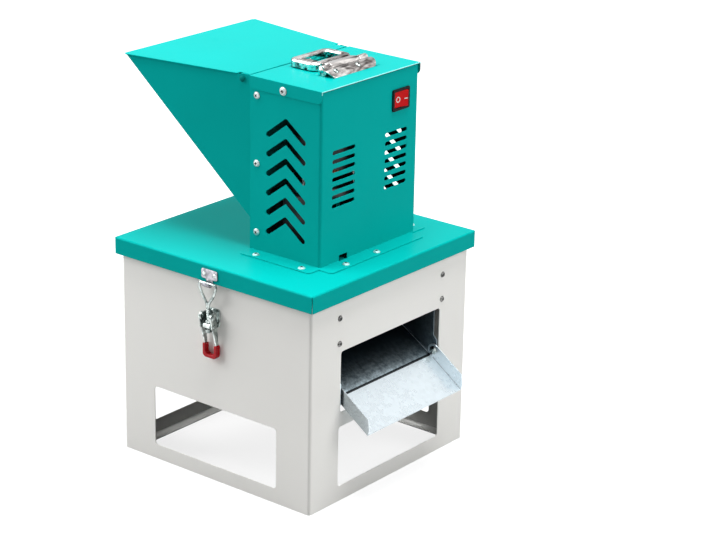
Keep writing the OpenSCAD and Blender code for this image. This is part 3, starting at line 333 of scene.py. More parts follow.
finishes = {
    "teal_paint": paintFinish("tealEnamel", teal, 0.34, 0.06),
    "cream_paint": paintFinish("greyWhiteEnamel", cream, 0.45, 0.20, 0.010),
    "galvanized": spangleFinish("galvanizedSheet", zincSheet, 0.22),
    "zinc": platedFinish("brightZinc", (0.17, 0.205, 0.20), (0.74, 0.81, 0.79), 130.0, 0.16),
    "stainless": metalFinish("brushedStainless", (0.60, 0.61, 0.62), 0.24, brush=(1.0, 14.0, 1.0)),
    "chrome": chromeFinish("brightChrome"),
    "red_vinyl": plasticFinish("redVinyl", (0.50, 0.003, 0.010), 0.18, 0.03, 0.15, 0.12),
    "red_gloss": plasticFinish("redRocker", (0.66, 0.008, 0.010), 0.34, 0.02, 0.08),
    "black_plastic": plasticFinish("blackPlastic", (0.006, 0.006, 0.007), 0.50, specular=0.10),
    "foam": plasticFinish("closedCellFoam", (0.02, 0.02, 0.02), 0.85, 0.5, 0.2),
    "brass": metalFinish("plainBrass", (0.80, 0.58, 0.26), 0.25),
    "copper": wireFinish("enamelledCopper"),
    "laminations": laminateFinish("laminatedSteel"),
    # the cast aluminium is darkened: painted shade inside the tower
    "cast_aluminium": metalFinish("castAluminium", (0.20, 0.205, 0.21), 0.46, grain=0.12, scale=300.0),
    "phenolic": plasticFinish("brownPhenolic", (0.06, 0.03, 0.015), 0.45, specular=0.2),
    "carbon": plasticFinish("brushCarbon", (0.02, 0.02, 0.022), 0.55, specular=0.2),
    "fan_plastic": plasticFinish("fanPlastic", (0.012, 0.013, 0.014), 0.5, specular=0.15),
}


def zone(tone, amount, left=None, right=None, front=None, rear=None, bottom=None, top=None):
    return (left, front, bottom), (right, rear, top), tone, amount


# places that the zones are measured from, in metres
gauge = 0.0012  # thickness of the painted sheet
skin = 0.00114  # just short of the sheet's inner face, so that no rounded corner's outer face is reached
ear = 0.008  # radius of the chute's side walls around their pivots
standLow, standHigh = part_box("base_shell")
capLow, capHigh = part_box("tower_cap")
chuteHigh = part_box("chute")[1]
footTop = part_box("head_plate")[1][2] + 0.004
wallL, wallR = capLow[0] + gauge, capHigh[0] - gauge
wallFront = capLow[1] + 0.0014
capFace = capLow[1] + 0.0004
capEdge = capHigh[2] - gauge
chuteHalf = chuteHigh[0]
panHalf = chuteHalf + 0.0008
hingeY, hingeZ = chuteHigh[1] - ear, chuteHigh[2] - ear
creaseW, panCreaseW, hingeShadeHalf = 0.0008, 0.0011, 0.0003

# painted shade on the stand's inner faces, above its foot flange
standInsideShade = zone(shade(cream, 0.58), 1.0, left=standLow[0] + skin, right=standHigh[0] - skin,
                   front=standLow[1] + skin, rear=standHigh[1] - skin, bottom=0.0016)
# painted shade on the tower's inner faces
towerInsideShade = zone(shade(teal, 0.10), 1.0, left=wallL + skin, right=wallR - skin,
                   front=wallFront + skin, bottom=footTop)
# painted shadow in the gap under the cap's front edge
capGapShadow = zone(shade(teal, 0.14), 0.9, left=wallL, right=wallR, rear=wallFront + skin, bottom=capEdge - 0.0011)
# painted highlight on the cap's front lip
capLipHighlight = zone((0.42, 0.92, 0.90), 0.9, rear=capFace, bottom=capHigh[2] - 0.004)
# painted shade on the front end of the cap's right flange
capEndShade = zone((0.05, 0.045, 0.055), 0.9, left=wallR, rear=capFace, top=capEdge - 0.0006)
footScrews = zone((0.30, 0.72, 0.69), 0.65, top=footTop)
# painted shade along the seam at the rear of the chute's floor
chuteSeamShade = zone((0.02, 0.022, 0.025), 0.95, left=0.0015 - chuteHalf, right=chuteHalf - 0.0015,
                 front=hingeY + 0.0029, top=hingeZ - 0.004)
# painted shade along the chute's creases
chuteCreaseShade = [zone((0.20, 0.23, 0.25), 0.8, left=x, right=x + creaseW, rear=hingeY)
                for x in (0.0013 - chuteHalf, chuteHalf - 0.0021)]
# painted shade on the chute's side walls by their pivots, where they pass the stand's panel
chuteHingeShade = [zone((0.03, 0.03, 0.03), 0.9, left=x - hingeShadeHalf, right=x + hingeShadeHalf,
                    front=standLow[1] - 0.002) for x in (-chuteHalf, chuteHalf)]
# painted shade on the pan's right side
panSideShade = zone((0.17, 0.22, 0.26), 0.55, left=panHalf - 0.0015, bottom=hingeZ + 0.003)
# painted shade along the pan's seam by the pivots
panSeamShade = zone((0.004, 0.005, 0.006), 0.95, left=0.001 - panHalf, right=panHalf - 0.001,
               rear=hingeY + 0.0068, top=hingeZ)
# painted highlights along the pan's creases
panCreaseHighlights = [zone((0.95, 0.98, 1.0), 0.8, left=x, right=x + panCreaseW, front=hingeY + 0.007)
              for x in (0.0002 - panHalf, panHalf - 0.0013)]

keeperSheet = platedFinish("platedSheet", (0.20, 0.20, 0.22), (0.52, 0.51, 0.55), 150.0, 0.26)

# nodes whose finish differs from the rest of their slot
ownFinish = {
    "base_shell": paintFinish("standEnamel", cream, 0.45, 0.20, 0.010, [standInsideShade]),
    "tower_shell": paintFinish("towerEnamel", teal, 0.34, 0.06, zones=[towerInsideShade, capGapShadow]),
    "tower_cap": paintFinish("capEnamel", teal, 0.34, 0.06, zones=[capLipHighlight, capEndShade]),
    "discharge_pan": panFinish("scoredPanPaintedLight", hingeY + 0.005, hingeY + 0.055,
                               [panSideShade, panSeamShade] + panCreaseHighlights),
    "chute": spangleFinish("chuteSheetPaintedShade", zincSheet, 0.22, flank=chuteHalf,
                           zones=[chuteSeamShade] + chuteCreaseShade + chuteHingeShade),
    # a dark copy of the galvanized sheet: painted shade inside the tower
    "feed_throat": spangleFinish("ductSheetPaintedShade", (0.16, 0.17, 0.18), 0.35),
    # a dark copy of the galvanized sheet: painted shade inside the tower
    "motor_bracket": spangleFinish("bracketSheetPaintedShade", (0.10, 0.105, 0.11), 0.42),
    # dark zinc: painted shade on the pan screws
    "pan_screws": platedFinish("panScrewPaintedShade", (0.05, 0.05, 0.05), (0.30, 0.30, 0.29), 300.0, 0.30),
    "head_screws": platedFinish("brightScrew", (0.50, 0.56, 0.56), (0.84, 0.90, 0.90), 300.0, 0.34,
                                [footScrews], 0.30),
    # a darker copy of the teal enamel: painted shade on the lid pins
    "lid_pins": paintFinish("pinEnamelPaintedShade", (0.002, 0.19, 0.175), 0.40, 0.06),
    "latch_keeper_left": keeperSheet,
    "latch_keeper_right": keeperSheet,
}
recessDark = plasticFinish("recessShadow", (0.02, 0.022, 0.022), 0.6, specular=0.1)
markWhite = plasticFinish("markWhite", (0.80, 0.78, 0.76), 0.40)


def finishOf(node):
    return ownFinish.get(node) or finishes[slotOf[node]]


for node in slotOf:
    mesh = nodes[node].data
    mesh.materials.clear()
    mesh.materials.append(finishOf(node))
print("finishes:", len(finishes))


def stand(name, mesh):  # a new object at the origin
    piece = bpy.data.objects.new(name, mesh)
    bpy.context.scene.collection.objects.link(piece)
    return piece


def settle(piece):  # turns the modifiers' result into the piece's plain mesh
    bpy.context.view_layer.update()
    grown = piece.evaluated_get(bpy.context.evaluated_depsgraph_get())
    mesh = bpy.data.meshes.new_from_object(grown)
    piece.modifiers.clear()
    piece.data = mesh
    return piece


def dress(piece, node, sharp=None):  # body, slot and finish from the node it stands for
    if not piece.data.materials:
        piece.data.materials.append(finishOf(node))
    if sharp:
        piece.data.shade_smooth()
        piece.data.set_sharp_from_angle(angle=math.radians(sharp))
    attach(piece, bodyOf[node])
    return piece


def mergedNode(name, node):  # a copy of a node's triangles, joined into clean faces
    work = bmesh.new()
    work.from_mesh(nodes[node].data)
    bmesh.ops.remove_doubles(work, verts=work.verts, dist=0.001 * mm)
    bmesh.ops.dissolve_limit(work, angle_limit=math.radians(0.4), verts=work.verts, edges=work.edges)
    mesh = bpy.data.meshes.new(name)
    work.to_mesh(mesh)
    work.free()
    return stand(name, mesh)


# sheet and bar parts whose edges are rounded off: name, width of the rounding and its steps
softEdges = {
    "base_shell": ("foldedStand", 0.30, 2),
    "head_plate": ("foldedHeadPlate", 0.30, 2),
    "tower_shell": ("foldedTower", 0.28, 2),
    "tower_cap": ("foldedCap", 0.32, 2),
    "hopper_body": ("foldedHopper", 0.28, 2),
    "hopper_lid": ("foldedLid", 0.32, 2),
    "discharge_pan": ("foldedPan", 0.28, 2),
    "chute": ("foldedChute", 0.28, 2),
    "latch_bracket_left": ("latchBracketLeft", 0.30, 2),
    "latch_bracket_right": ("latchBracketRight", 0.30, 2),
    "latch_lever_left": ("latchLeverLeft", 0.35, 2),
    "latch_lever_right": ("latchLeverRight", 0.35, 2),
    "latch_keeper_left": ("latchKeeperLeft", 0.35, 2),
    "latch_keeper_right": ("latchKeeperRight", 0.35, 2),
    "latch_nuts_left": ("latchNutsLeft", 0.25, 2),
    "latch_nuts_right": ("latchNutsRight", 0.25, 2),
    "latch_trunnion_left": ("latchTrunnionLeft", 0.30, 2),
    "latch_trunnion_right": ("latchTrunnionRight", 0.30, 2),
    "switch_housing": ("switchBezel", 0.45, 3),
    "switch_rocker": ("switchPaddle", 0.50, 3),
    "handle_plate": ("handleFrontPlate", 0.45, 3),
    "handle_bail": ("handleBail", 0.9, 3),
}


def softenEdges():
    for node, (name, width, steps) in softEdges.items():
        piece = mergedNode(name, node)
        piece.data.shade_smooth()
        edge = piece.modifiers.new("rounding", "BEVEL")
        edge.width = width * mm
        edge.segments = steps
        edge.limit_method = "ANGLE"
        edge.angle_limit = math.radians(34)
        edge.use_clamp_overlap = False
        even = piece.modifiers.new("flats", "WEIGHTED_NORMAL")
        even.weight = 100
        settle(piece)
        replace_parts(dress(piece, node), node)


softenEdges()
print("edges rounded on", len(softEdges), "parts")


def islandSeats(node):  # where each loose screw or rivet of a node sits, which way it points and its radius
    work = bmesh.new()
    work.from_mesh(nodes[node].data)
    bmesh.ops.remove_doubles(work, verts=work.verts, dist=0.001 * mm)
    seats = []
    seen = set()
    for first in work.faces:
        if first in seen:
            continue
        seen.add(first)
        island = [first]
        for face in island:  # it grows by its neighbours while it is walked
            for edge in face.edges:
                for other in edge.link_faces:
                    if other not in seen:
                        seen.add(other)
                        island.append(other)
        flats = {}
        for face in island:
            key = tuple(round(v, 2) for v in face.normal)
            flats.setdefault(key, []).append(face)
        base = max(flats.values(), key=lambda faces: sum(f.calc_area() for f in faces))
        area = sum(f.calc_area() for f in base)
        middle = sum((f.calc_center_median() * f.calc_area() for f in base), Vector()) / area
        seats.append((middle, -base[0].normal.copy(), math.sqrt(area / math.pi)))
    work.free()
    return seats


class Shape(Graph):  # a geometry tree under construction, whose sizes are its named inputs
    def __init__(self, name):
        self.group = bpy.data.node_groups.new(name, "GeometryNodeTree")
        super().__init__(self.group)
        self.group.interface.new_socket("Geometry", in_out="INPUT", socket_type="NodeSocketGeometry")
        self.group.interface.new_socket("Geometry", in_out="OUTPUT", socket_type="NodeSocketGeometry")
        self.entry = self.group.nodes.new("NodeGroupInput")
        self.exit = self.group.nodes.new("NodeGroupOutput")
        self.keys = {}

    def given(self, name, value, kind="NodeSocketFloat"):
        socket = self.group.interface.new_socket(name, in_out="INPUT", socket_type=kind)
        socket.default_value = value
        self.keys[name] = socket.identifier
        return Wire(self, self.entry.outputs[name])

    def source(self):
        return Wire(self, self.entry.outputs["Geometry"])

    def vector(self, x, y, z):
        return self.node("ShaderNodeCombineXYZ", {}, [x, y, z])

    def circle(self, radius, steps):
        return self.node("GeometryNodeCurvePrimitiveCircle", {}, {"Resolution": steps, "Radius": radius})

    def sweep(self, path, profile):
        return self.node("GeometryNodeCurveToMesh", {}, {
            "Curve": path, "Profile Curve": profile, "Fill Caps": True})

    def moved(self, geometry, shift=(0.0, 0.0, 0.0), turn=(0.0, 0.0, 0.0), scale=(1.0, 1.0, 1.0)):
        return self.node("GeometryNodeTransform", {}, {
            "Geometry": geometry, "Translation": shift, "Rotation": turn, "Scale": scale})

    def join(self, *parts):
        joined = self.tree.nodes.new("GeometryNodeJoinGeometry")
        for part in parts:
            self.tree.links.new(part.socket, joined.inputs[0])
        return Wire(self, joined.outputs[0])

    def cut(self, body, tool):
        return self.node("GeometryNodeMeshBoolean", {"operation": "DIFFERENCE", "solver": "EXACT"},
                         {"Mesh 1": body, "Mesh 2": tool}, out="Mesh")

    def painted(self, geometry, finish):
        return self.node("GeometryNodeSetMaterial", {}, {"Geometry": geometry, "Material": finish})

    def close(self, geometry, finish=None):
        real = self.node("GeometryNodeRealizeInstances", {}, [geometry])
        last = self.painted(real, finish) if finish else real
        self.tree.links.new(last.socket, self.exit.inputs[0])

    def grow(self, piece, **sizes):
        modifier = piece.modifiers.new("shape", "NODES")
        modifier.node_group = self.group
        for name, value in sizes.items():
            modifier[self.keys[name]] = value
        return settle(piece)


def seatMesh(name, seats):  # one vertex per seat, with the way it points, its turn and its relative size
    mesh = bpy.data.meshes.new(name)
    mesh.from_pydata([tuple(spot) for spot, _, _ in seats], [], [])
    mesh.attributes.new("lean", "FLOAT_VECTOR", "POINT")
    mesh.attributes.new("turn", "FLOAT", "POINT")
    mesh.attributes.new("size", "FLOAT", "POINT")
    for i, (_, way, radius) in enumerate(seats):
        mesh.attributes["lean"].data[i].vector = way
        mesh.attributes["turn"].data[i].value = (i * 2.399) % 6.283
        mesh.attributes["size"].data[i].value = radius / seats[0][2]
    return mesh


def screwShape(name, crossed):  # domed head, with a cross recess where crossed is true
    shape = Shape(name)
    radius = shape.given("radius", 3.6)
    height = shape.given("height", 2.0)
    edge = shape.given("edge", 0.55)
    disc = shape.node("GeometryNodeMeshCylinder", {}, {
        "Vertices": 40, "Side Segments": 2, "Fill Segments": 7, "Radius": radius, "Depth": 2.0}, out="Mesh")
    place = shape.node("ShaderNodeSeparateXYZ", {}, [shape.node("GeometryNodeInputPosition")])
    out = (place * place + place.of("Y") * place.of("Y")) ** 0.5 / radius
    level = place.of("Z") * 0.5 + 0.5
    crown = height * (1.0 - edge * out ** 4.0 - 0.12 * out ** 2.0)
    tuck = 1.0 - 0.10 * level.over(0.9) * out ** 6.0
    head = shape.node("GeometryNodeSetPosition", {}, {
        "Geometry": disc,
        "Position": shape.vector(place * tuck, place.of("Y") * tuck, level * crown)})
    finish = shape.given("finish", finishes["zinc"], "NodeSocketMaterial")
    head = shape.painted(head, finish)
    if crossed:
        arm = radius * 0.86
        slit = radius * 0.28
        for size in ((arm, slit), (slit, arm)):
            tool = shape.node("GeometryNodeMeshCube", {}, {
                "Size": shape.vector(size[0], size[1], height * 1.2)}, out="Mesh")
            tool = shape.painted(shape.moved(tool, shape.vector(0.0, 0.0, height * 1.05)), recessDark)
            head = shape.cut(head, tool)
    lean = shape.node("GeometryNodeInputNamedAttribute", {"data_type": "FLOAT_VECTOR"}, {"Name": "lean"})
    turn = shape.node("GeometryNodeInputNamedAttribute", {"data_type": "FLOAT"}, {"Name": "turn"})
    size = shape.node("GeometryNodeInputNamedAttribute", {"data_type": "FLOAT"}, {"Name": "size"})
    aimed = shape.node("FunctionNodeAlignRotationToVector", {"axis": "Z"}, {"Vector": lean})
    spun = shape.node("FunctionNodeRotateRotation", {"rotation_space": "LOCAL"}, {
        "Rotation": aimed, "Rotate By": shape.vector(0.0, 0.0, turn)})
    points = shape.node("GeometryNodeMeshToPoints", {}, {"Mesh": shape.source()})
    heads = shape.node("GeometryNodeInstanceOnPoints", {}, {
        "Points": points, "Instance": head, "Rotation": spun,
        "Scale": shape.vector(size * mm, size * mm, mm)})
    shape.close(heads)
    return shape


# screws and rivets that stand for the plain heads: piece, height, edge drop and whether crossed
fasteners = {
    "head_screws": ("headScrews", 2.0, 0.50, True),
    "pan_screws": ("panScrews", 2.0, 0.50, True),
    "latch_screws": ("latchScrews", 1.4, 0.45, True),
    "handle_screws": ("handleScrews", 1.6, 0.50, True),
    "keeper_rivets": ("keeperRivets", 1.3, 0.75, False),
}


def makeFasteners():
    crossedShape = screwShape("crossScrew", True)
    plainShape = screwShape("domeRivet", False)
    for node, (name, height, edge, crossed) in fasteners.items():
        seats = islandSeats(node)
        piece = stand(name, seatMesh(name, seats))
        shape = crossedShape if crossed else plainShape
        shape.grow(piece, radius=seats[0][2] / mm, height=height, edge=edge, finish=finishOf(node))
        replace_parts(dress(piece, node, sharp=40), node)
        print(name, len(seats), "heads")


makeFasteners()

# wire loop on a threaded stem, in mm in its own plane: across, and along from the cross pin
hook = {"pin": (153.0, 196.0), "lean": 1.46, "wire": 1.6, "stem": 1.85, "tail": 9.0, "top": 25.0,
        "pitch": 1.0, "ridge": 0.32, "half": 12.65, "bar": 51.0, "eye": 27.0}


def makeHooks(shiftY):
    shape = Shape("threadedHook")
    sizes = {k: hook[k] for k in ("wire", "stem", "tail", "top", "pitch", "ridge")}
    wire, stem, tail, top, pitch, ridge = (shape.given(k, size) for k, size in sizes.items())
    spot = shape.given("spot", (0.0, 0.0, 0.0), "NodeSocketVector")
    lean = shape.given("lean", (0.0, 0.0, 0.0), "NodeSocketVector")
    path = shape.node("GeometryNodeMeshToCurve", {}, [shape.source()])
    smooth = shape.node("GeometryNodeCurveSplineType", {"spline_type": "CATMULL_ROM"}, {"Curve": path})
    even = shape.node("GeometryNodeResampleCurve", {}, {"Curve": smooth, "Count": 120})
    loop = shape.sweep(even, shape.circle(wire, 14))
    length = tail + top
    core = shape.node("GeometryNodeMeshCylinder", {}, {
        "Vertices": 28, "Radius": stem, "Depth": length}, out="Mesh")
    core = shape.moved(core, shape.vector(0.0, 0.0, top - length * 0.5))
    coil = shape.node("GeometryNodeCurveSpiral", {}, {
        "Resolution": 22, "Rotations": (length - 1.0) / pitch, "Start Radius": stem, "End Radius": stem,
        "Height": length - 1.0})
    thread = shape.moved(shape.sweep(coil, shape.circle(ridge, 4)), shape.vector(0.0, 0.0, 0.5 - tail))
    collar = shape.node("GeometryNodeMeshUVSphere", {}, {"Segments": 24, "Rings": 14, "Radius": stem * 1.14},
                        out="Mesh")
    collar = shape.moved(collar, shape.vector(0.0, 0.0, top + 0.4), scale=(1.0, 1.05, 1.5))
    whole = shape.join(loop, core, thread, collar)
    shape.close(shape.moved(shape.moved(whole, scale=(mm, mm, mm)), spot, lean), finishes["zinc"])
    half, bar, eye = hook["half"], hook["bar"], hook["eye"]
    flank = [(0.8, eye - 4.5), (1.3, eye - 1.0), (3.3, eye + 2.4), (6.9, eye + 7.4), (10.2, eye + 13.4),
             (half - 0.7, bar - 5.8), (half - 0.1, bar - 2.8), (half - 1.5, bar - 0.5), (half - 4.2, bar)]
    run = flank + [(0.0, bar)] + [(-across, along) for across, along in reversed(flank)]
    for side, word in ((-1, "Left"), (1, "Right")):
        name = "latchHook" + word
        node = "latch_hook_" + word.lower()
        mesh = bpy.data.meshes.new(name)
        mesh.from_pydata([(0.0, across, along) for across, along in run],
                         [(i, i + 1) for i in range(len(run) - 1)], [])
        piece = stand(name, mesh)
        shape.grow(piece, spot=(side * hook["pin"][0] * mm, shiftY, hook["pin"][1] * mm),
                   lean=(0.0, side * math.radians(hook["lean"]), 0.0), **sizes)
        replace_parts(dress(piece, node, sharp=50), node)


gripLow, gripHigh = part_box("latch_grip_left")
latchY = (gripLow[1] + gripHigh[1]) / 2
makeHooks(latchY)
print("hooks threaded")

grip = {"voxel": 0.45, "smooth": 7}  # mm and passes


def makeGrips():  # dipped vinyl has no sharp edge, so the solid is remeshed and relaxed
    for word in ("Left", "Right"):
        node = "latch_grip_" + word.lower()
        piece = mergedNode("dippedGrip" + word, node)
        skin = piece.modifiers.new("skin", "REMESH")
        skin.mode = "VOXEL"
        skin.voxel_size = grip["voxel"] * mm
        ease = piece.modifiers.new("ease", "SMOOTH")
        ease.factor = 0.5
        ease.iterations = grip["smooth"]
        settle(piece)
        piece.data.shade_smooth()
        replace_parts(dress(piece, node), node)


makeGrips()
print("grips dipped")

# signs printed on the rocker's two faces, in mm: offsets from its middle, ring radius, line width
signs = {"ringAt": -5.4, "dashAt": 6.2, "ring": 2.9, "line": 1.15, "dash": 4.4, "proud": 0.10}


def makeSigns():
    low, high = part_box("switch_rocker")
    middle = (Vector(low) + Vector(high)) / 2
    shell = nodes["switch_rocker"].data
    paddle = BVHTree.FromPolygons([v.co for v in shell.vertices], [tuple(f.vertices) for f in shell.polygons])
    work = bmesh.new()
    steps = 36
    half = signs["line"] / 2
    outlines = []
    ring = [(math.cos(2 * math.pi * i / steps), math.sin(2 * math.pi * i / steps)) for i in range(steps)]
    for i in range(steps):
        (c0, s0), (c1, s1) = ring[i], ring[(i + 1) % steps]
        inner, outer = signs["ring"] - half, signs["ring"] + half
        outlines.append((signs["ringAt"], [(c0 * inner, s0 * inner), (c0 * outer, s0 * outer),
                                           (c1 * outer, s1 * outer), (c1 * inner, s1 * inner)]))
    tip = signs["dash"] / 2
    outlines.append((signs["dashAt"], [(-tip, -half), (tip, -half), (tip, half), (-tip, half)]))
    for reach, corners in outlines:
        front = []
        for across, up in corners:
            start = Vector((middle.x + (reach + across) * mm, low[1] - 0.02, middle.z + up * mm))
            spot, normal, _, _ = paddle.ray_cast(start, Vector((0.0, 1.0, 0.0)))
            front.append((spot, normal))
        top = [work.verts.new(spot + normal * signs["proud"] * mm) for spot, normal in front]
        foot = [work.verts.new(spot - normal * signs["proud"] * mm) for spot, normal in front]
        work.faces.new(top)
        for i in range(4):
            j = (i + 1) % 4
            work.faces.new((top[i], foot[i], foot[j], top[j]))
    bmesh.ops.remove_doubles(work, verts=work.verts, dist=0.01 * mm)
    bmesh.ops.recalc_face_normals(work, faces=work.faces)
    mesh = bpy.data.meshes.new("rockerSigns")
    work.to_mesh(mesh)
    work.free()
    mesh.materials.append(markWhite)
    dress(stand("rockerSigns", mesh), "switch_rocker")


makeSigns()
print("signs printed")

# perforated screen tray, in mm; "round" is its corners' radius and "count" its holes along one side
screen = {"pitch": 3.0, "hole": 0.95, "count": 49, "sheet": 0.8, "draft": 3.2, "round": 20.0, "rim": 12.0}


def roundedSquare(half, radius, steps=8):
    points = []
    for corner in range(4):
        for i in range(steps + 1):
            angle = math.pi / 2 * (corner + i / steps)
            cx, cy = ((1, 1), (-1, 1), (-1, -1), (1, -1))[corner]
            points.append(((half - radius) * cx + radius * math.cos(angle),
                           (half - radius) * cy + radius * math.sin(angle)))
    return points


def makeScreen():
    low, high = (Vector(v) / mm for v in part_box("screen_tray"))
    middle = (low + high) / 2
    rim = (high.x - low.x) / 2
    body = rim - screen["rim"]
    bottom = body - screen["draft"]
    corner = screen["round"]
    floor = low.z + screen["sheet"]
    meshHalf = screen["pitch"] * screen["count"] / 2
    rings = [
        (rim, high.z, corner), (body + 1.5, high.z, corner), (body + 0.3, high.z - 0.5, corner),
        (body - 0.8, high.z - 2.0, corner), (bottom - 0.2, floor + 2.2, corner - 2.0),
        (bottom - 1.0, floor + 0.6, corner - 3.0), (bottom - 3.0, floor, corner - 4.0),
        (meshHalf, floor, 0.02)]
    work = bmesh.new()
    last = None
    for half, level, radius in rings:
        ring = [work.verts.new(((middle.x + x) * mm, (middle.y + y) * mm, level * mm))
                for x, y in roundedSquare(half, radius)]
        if last:
            for i in range(len(ring)):
                j = (i + 1) % len(ring)
                work.faces.new((last[i], last[j], ring[j], ring[i]))
        last = ring
    bmesh.ops.remove_doubles(work, verts=work.verts, dist=0.004 * mm)
    bmesh.ops.recalc_face_normals(work, faces=work.faces)
    if sum(f.normal.z for f in work.faces) < 0:
        bmesh.ops.reverse_faces(work, faces=work.faces)
    mesh = bpy.data.meshes.new("screenPan")
    work.to_mesh(mesh)
    work.free()
    pan = stand("screenPan", mesh)
    wall = pan.modifiers.new("wall", "SOLIDIFY")
    wall.thickness = screen["sheet"] * mm
    wall.offset = -1.0
    settle(pan)
    dress(pan, "screen_tray", sharp=40)
    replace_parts(pan, "screen_tray")

    shape = Shape("perforatedFloor")
    pitch = shape.given("pitch", screen["pitch"])
    count = shape.given("count", screen["count"], "NodeSocketInt")
    spot = shape.given("spot", (0.0, 0.0, 0.0), "NodeSocketVector")
    span = pitch * (count - 1.0)
    grid = shape.node("GeometryNodeMeshGrid", {}, {
        "Size X": span, "Size Y": span, "Vertices X": count, "Vertices Y": count}, out="Mesh")
    points = shape.node("GeometryNodeMeshToPoints", {}, {"Mesh": grid})
    cells = shape.node("GeometryNodeInstanceOnPoints", {}, {"Points": points, "Instance": shape.source()})
    merged = shape.node("GeometryNodeMergeByDistance", {}, {
        "Geometry": shape.node("GeometryNodeRealizeInstances", {}, [cells]), "Distance": 0.01})
    shape.close(shape.moved(merged, spot, scale=(mm, mm, mm)), finishes["stainless"])
    square = [(1, 0), (1, 1), (0, 1), (-1, 1), (-1, 0), (-1, -1), (0, -1), (1, -1)]
    edge = screen["pitch"] / 2
    thick = screen["sheet"]
    verts = [(x * edge, y * edge, z) for z in (0.0, -thick) for x, y in square]
    verts += [(screen["hole"] * math.cos(math.pi / 4 * i), screen["hole"] * math.sin(math.pi / 4 * i), z)
              for z in (0.0, -thick) for i in range(8)]
    faces = []
    for i in range(8):
        j = (i + 1) % 8
        faces.append((i, j, 16 + j, 16 + i))
        faces.append((8 + j, 8 + i, 24 + i, 24 + j))
        faces.append((16 + i, 16 + j, 24 + j, 24 + i))
    mesh = bpy.data.meshes.new("screenFloor")
    mesh.from_pydata(verts, [], faces)
    sieve = stand("screenFloor", mesh)
    shape.grow(sieve, pitch=screen["pitch"], count=screen["count"],
               spot=(middle.x * mm, middle.y * mm, floor * mm))
    dress(sieve, "screen_tray")


makeScreen()
print("screen perforated")

# the seal's section, in mm: out from its middle line, and up from its lower face
sealHalf = 4.0
sealSection = [(3.9, 2.2), (4.0, 1.2), (3.6, 0.45), (2.8, 0.08), (1.2, 0.0), (0.5, 0.28), (-0.5, 0.28),
               (-1.2, 0.0), (-2.8, 0.08), (-3.6, 0.45), (-4.0, 1.2), (-3.9, 2.2)]


def makeSeal():  # foam strip with soft edges and the groove that the tray's rim has pressed into it
    low, high = (Vector(v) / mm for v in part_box("chamber_seal"))
    middle = (low + high) / 2
    track = (high.x - low.x) / 2 - sealHalf
    corner = screen["round"]
    work = bmesh.new()
    rings = [[work.verts.new(((middle.x + x) * mm, (middle.y + y) * mm, (low.z + up) * mm))
              for x, y in roundedSquare(track + out, corner + out, 12)] for out, up in sealSection]
    for k, ring in enumerate(rings):
        after = rings[(k + 1) % len(rings)]
        for i in range(len(ring)):
            j = (i + 1) % len(ring)
            work.faces.new((ring[i], ring[j], after[j], after[i]))
    bmesh.ops.remove_doubles(work, verts=work.verts, dist=0.004 * mm)
    bmesh.ops.recalc_face_normals(work, faces=work.faces)
    mesh = bpy.data.meshes.new("foamSeal")
    work.to_mesh(mesh)
    work.free()
    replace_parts(dress(stand("foamSeal", mesh), "chamber_seal", sharp=50), "chamber_seal")


makeSeal()
print("seal laid")

# camera, floor and light
shot = {"azimuth": -51.5, "elevation": 20.05, "roll": 1.11, "distance": 2.7582, "lens": 113.73,
        "aim": (0.116712, 0.003589, 0.189252)}
lamps = {
    "leftLamp": {"spot": (-1.5, 2.5, 2.0), "size": 3.0, "power": 116.0},
    "frontLamp": {"spot": (0.9, -2.6, 1.7), "size": 1.8, "power": 45.0},
    "topLamp": {"spot": (0.1, -0.3, 4.5), "size": 2.6, "power": 240.0},
}
lampTarget = Vector((0.0, 0.0, 0.25))
room = {"level": 0.10, "floorColour": 0.32, "floorGlow": 0.80, "farGlow": 1.0, "side": 6.0,
        "near": 0.25, "far": 1.1}


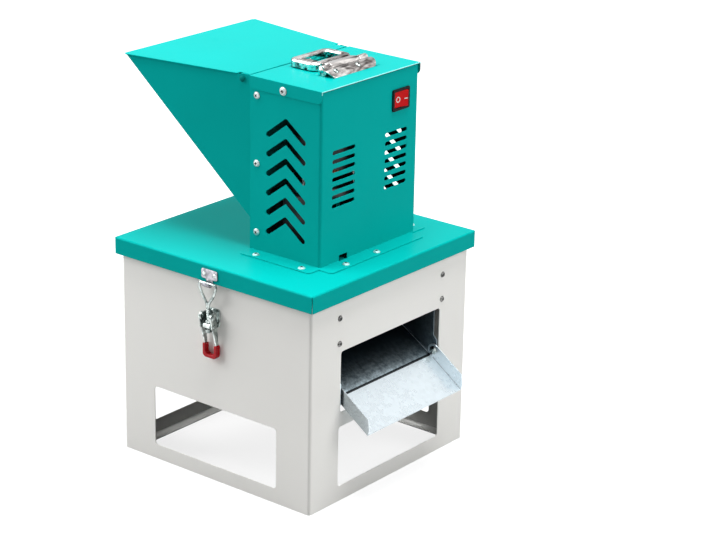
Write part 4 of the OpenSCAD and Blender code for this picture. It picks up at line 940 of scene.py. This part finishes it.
def makeCamera():
    azimuth, elevation, roll = (math.radians(shot[k]) for k in ("azimuth", "elevation", "roll"))
    back = Vector((math.sin(azimuth) * math.cos(elevation),
                   -math.cos(azimuth) * math.cos(elevation), math.sin(elevation)))
    right = Vector((math.cos(azimuth), math.sin(azimuth), 0.0))
    up = back.cross(right)
    turnedRight = right * math.cos(roll) + up * math.sin(roll)
    turnedUp = up * math.cos(roll) - right * math.sin(roll)
    data = bpy.data.cameras.new("photoCamera")
    data.lens = shot["lens"]
    data.sensor_width = 36.0
    camera = stand("photoCamera", data)
    spot = Vector(shot["aim"]) + back * shot["distance"]
    axes = Matrix((turnedRight, turnedUp, back)).transposed().to_4x4()
    camera.matrix_world = Matrix.Translation(spot) @ axes
    bpy.context.scene.camera = camera


def seenDirectly(graph):  # 1 for what the camera, a gloss or a glass shows
    path = graph.node("ShaderNodeLightPath", out="Is Camera Ray")
    return path.sum("MAXIMUM", path.sum("MAXIMUM", path, path.of("Is Glossy Ray")),
                    path.of("Is Transmission Ray"))


def makeFloor():
    mesh = bpy.data.meshes.new("studioFloor")
    side = room["side"]
    mesh.from_pydata([(-side, -side, 0), (side, -side, 0), (side, side, 0), (-side, side, 0)], [],
                     [(0, 1, 2, 3)])
    floor = stand("studioFloor", mesh)
    paper = Finish("paleFloor")
    place = paper.node("ShaderNodeSeparateXYZ", {}, [paper.place()])
    away = (place * place + place.of("Y") * place.of("Y")) ** 0.5
    glow = seenDirectly(paper) * away.spread(room["near"], room["far"], room["floorGlow"], room["farGlow"])
    tone = room["floorColour"]
    paper.set(baseColor=(tone, tone, tone), roughness=0.9, specularIorLevel=0.0,
              emissionColor=paper.node("ShaderNodeCombineColor", {}, [glow, glow, glow]),
              emissionStrength=1.0)
    mesh.materials.append(paper.material)


def makeLamps():
    for name, lamp in lamps.items():
        data = bpy.data.lights.new(name, "AREA")
        data.shape = "SQUARE"
        data.size = lamp["size"]
        data.energy = lamp["power"]
        made = stand(name, data)
        made.location = lamp["spot"]
        made.rotation_mode = "QUATERNION"
        made.rotation_quaternion = (lampTarget - Vector(lamp["spot"])).to_track_quat("-Z", "Y")


def makeWorld():
    world = bpy.data.worlds.new("paleStudio")
    bpy.context.scene.world = world
    world.use_nodes = True
    sky = Graph(world.node_tree)
    shown = world.node_tree.nodes["Background"]
    level = room["level"]
    shown.inputs["Color"].default_value = (1.0, 1.0, 1.0, 1.0)
    sky.plug(shown.inputs["Strength"], seenDirectly(sky) * (1.0 - level) + level)


makeCamera()
makeFloor()
makeLamps()
makeWorld()
bpy.context.scene.view_settings.view_transform = "Standard"
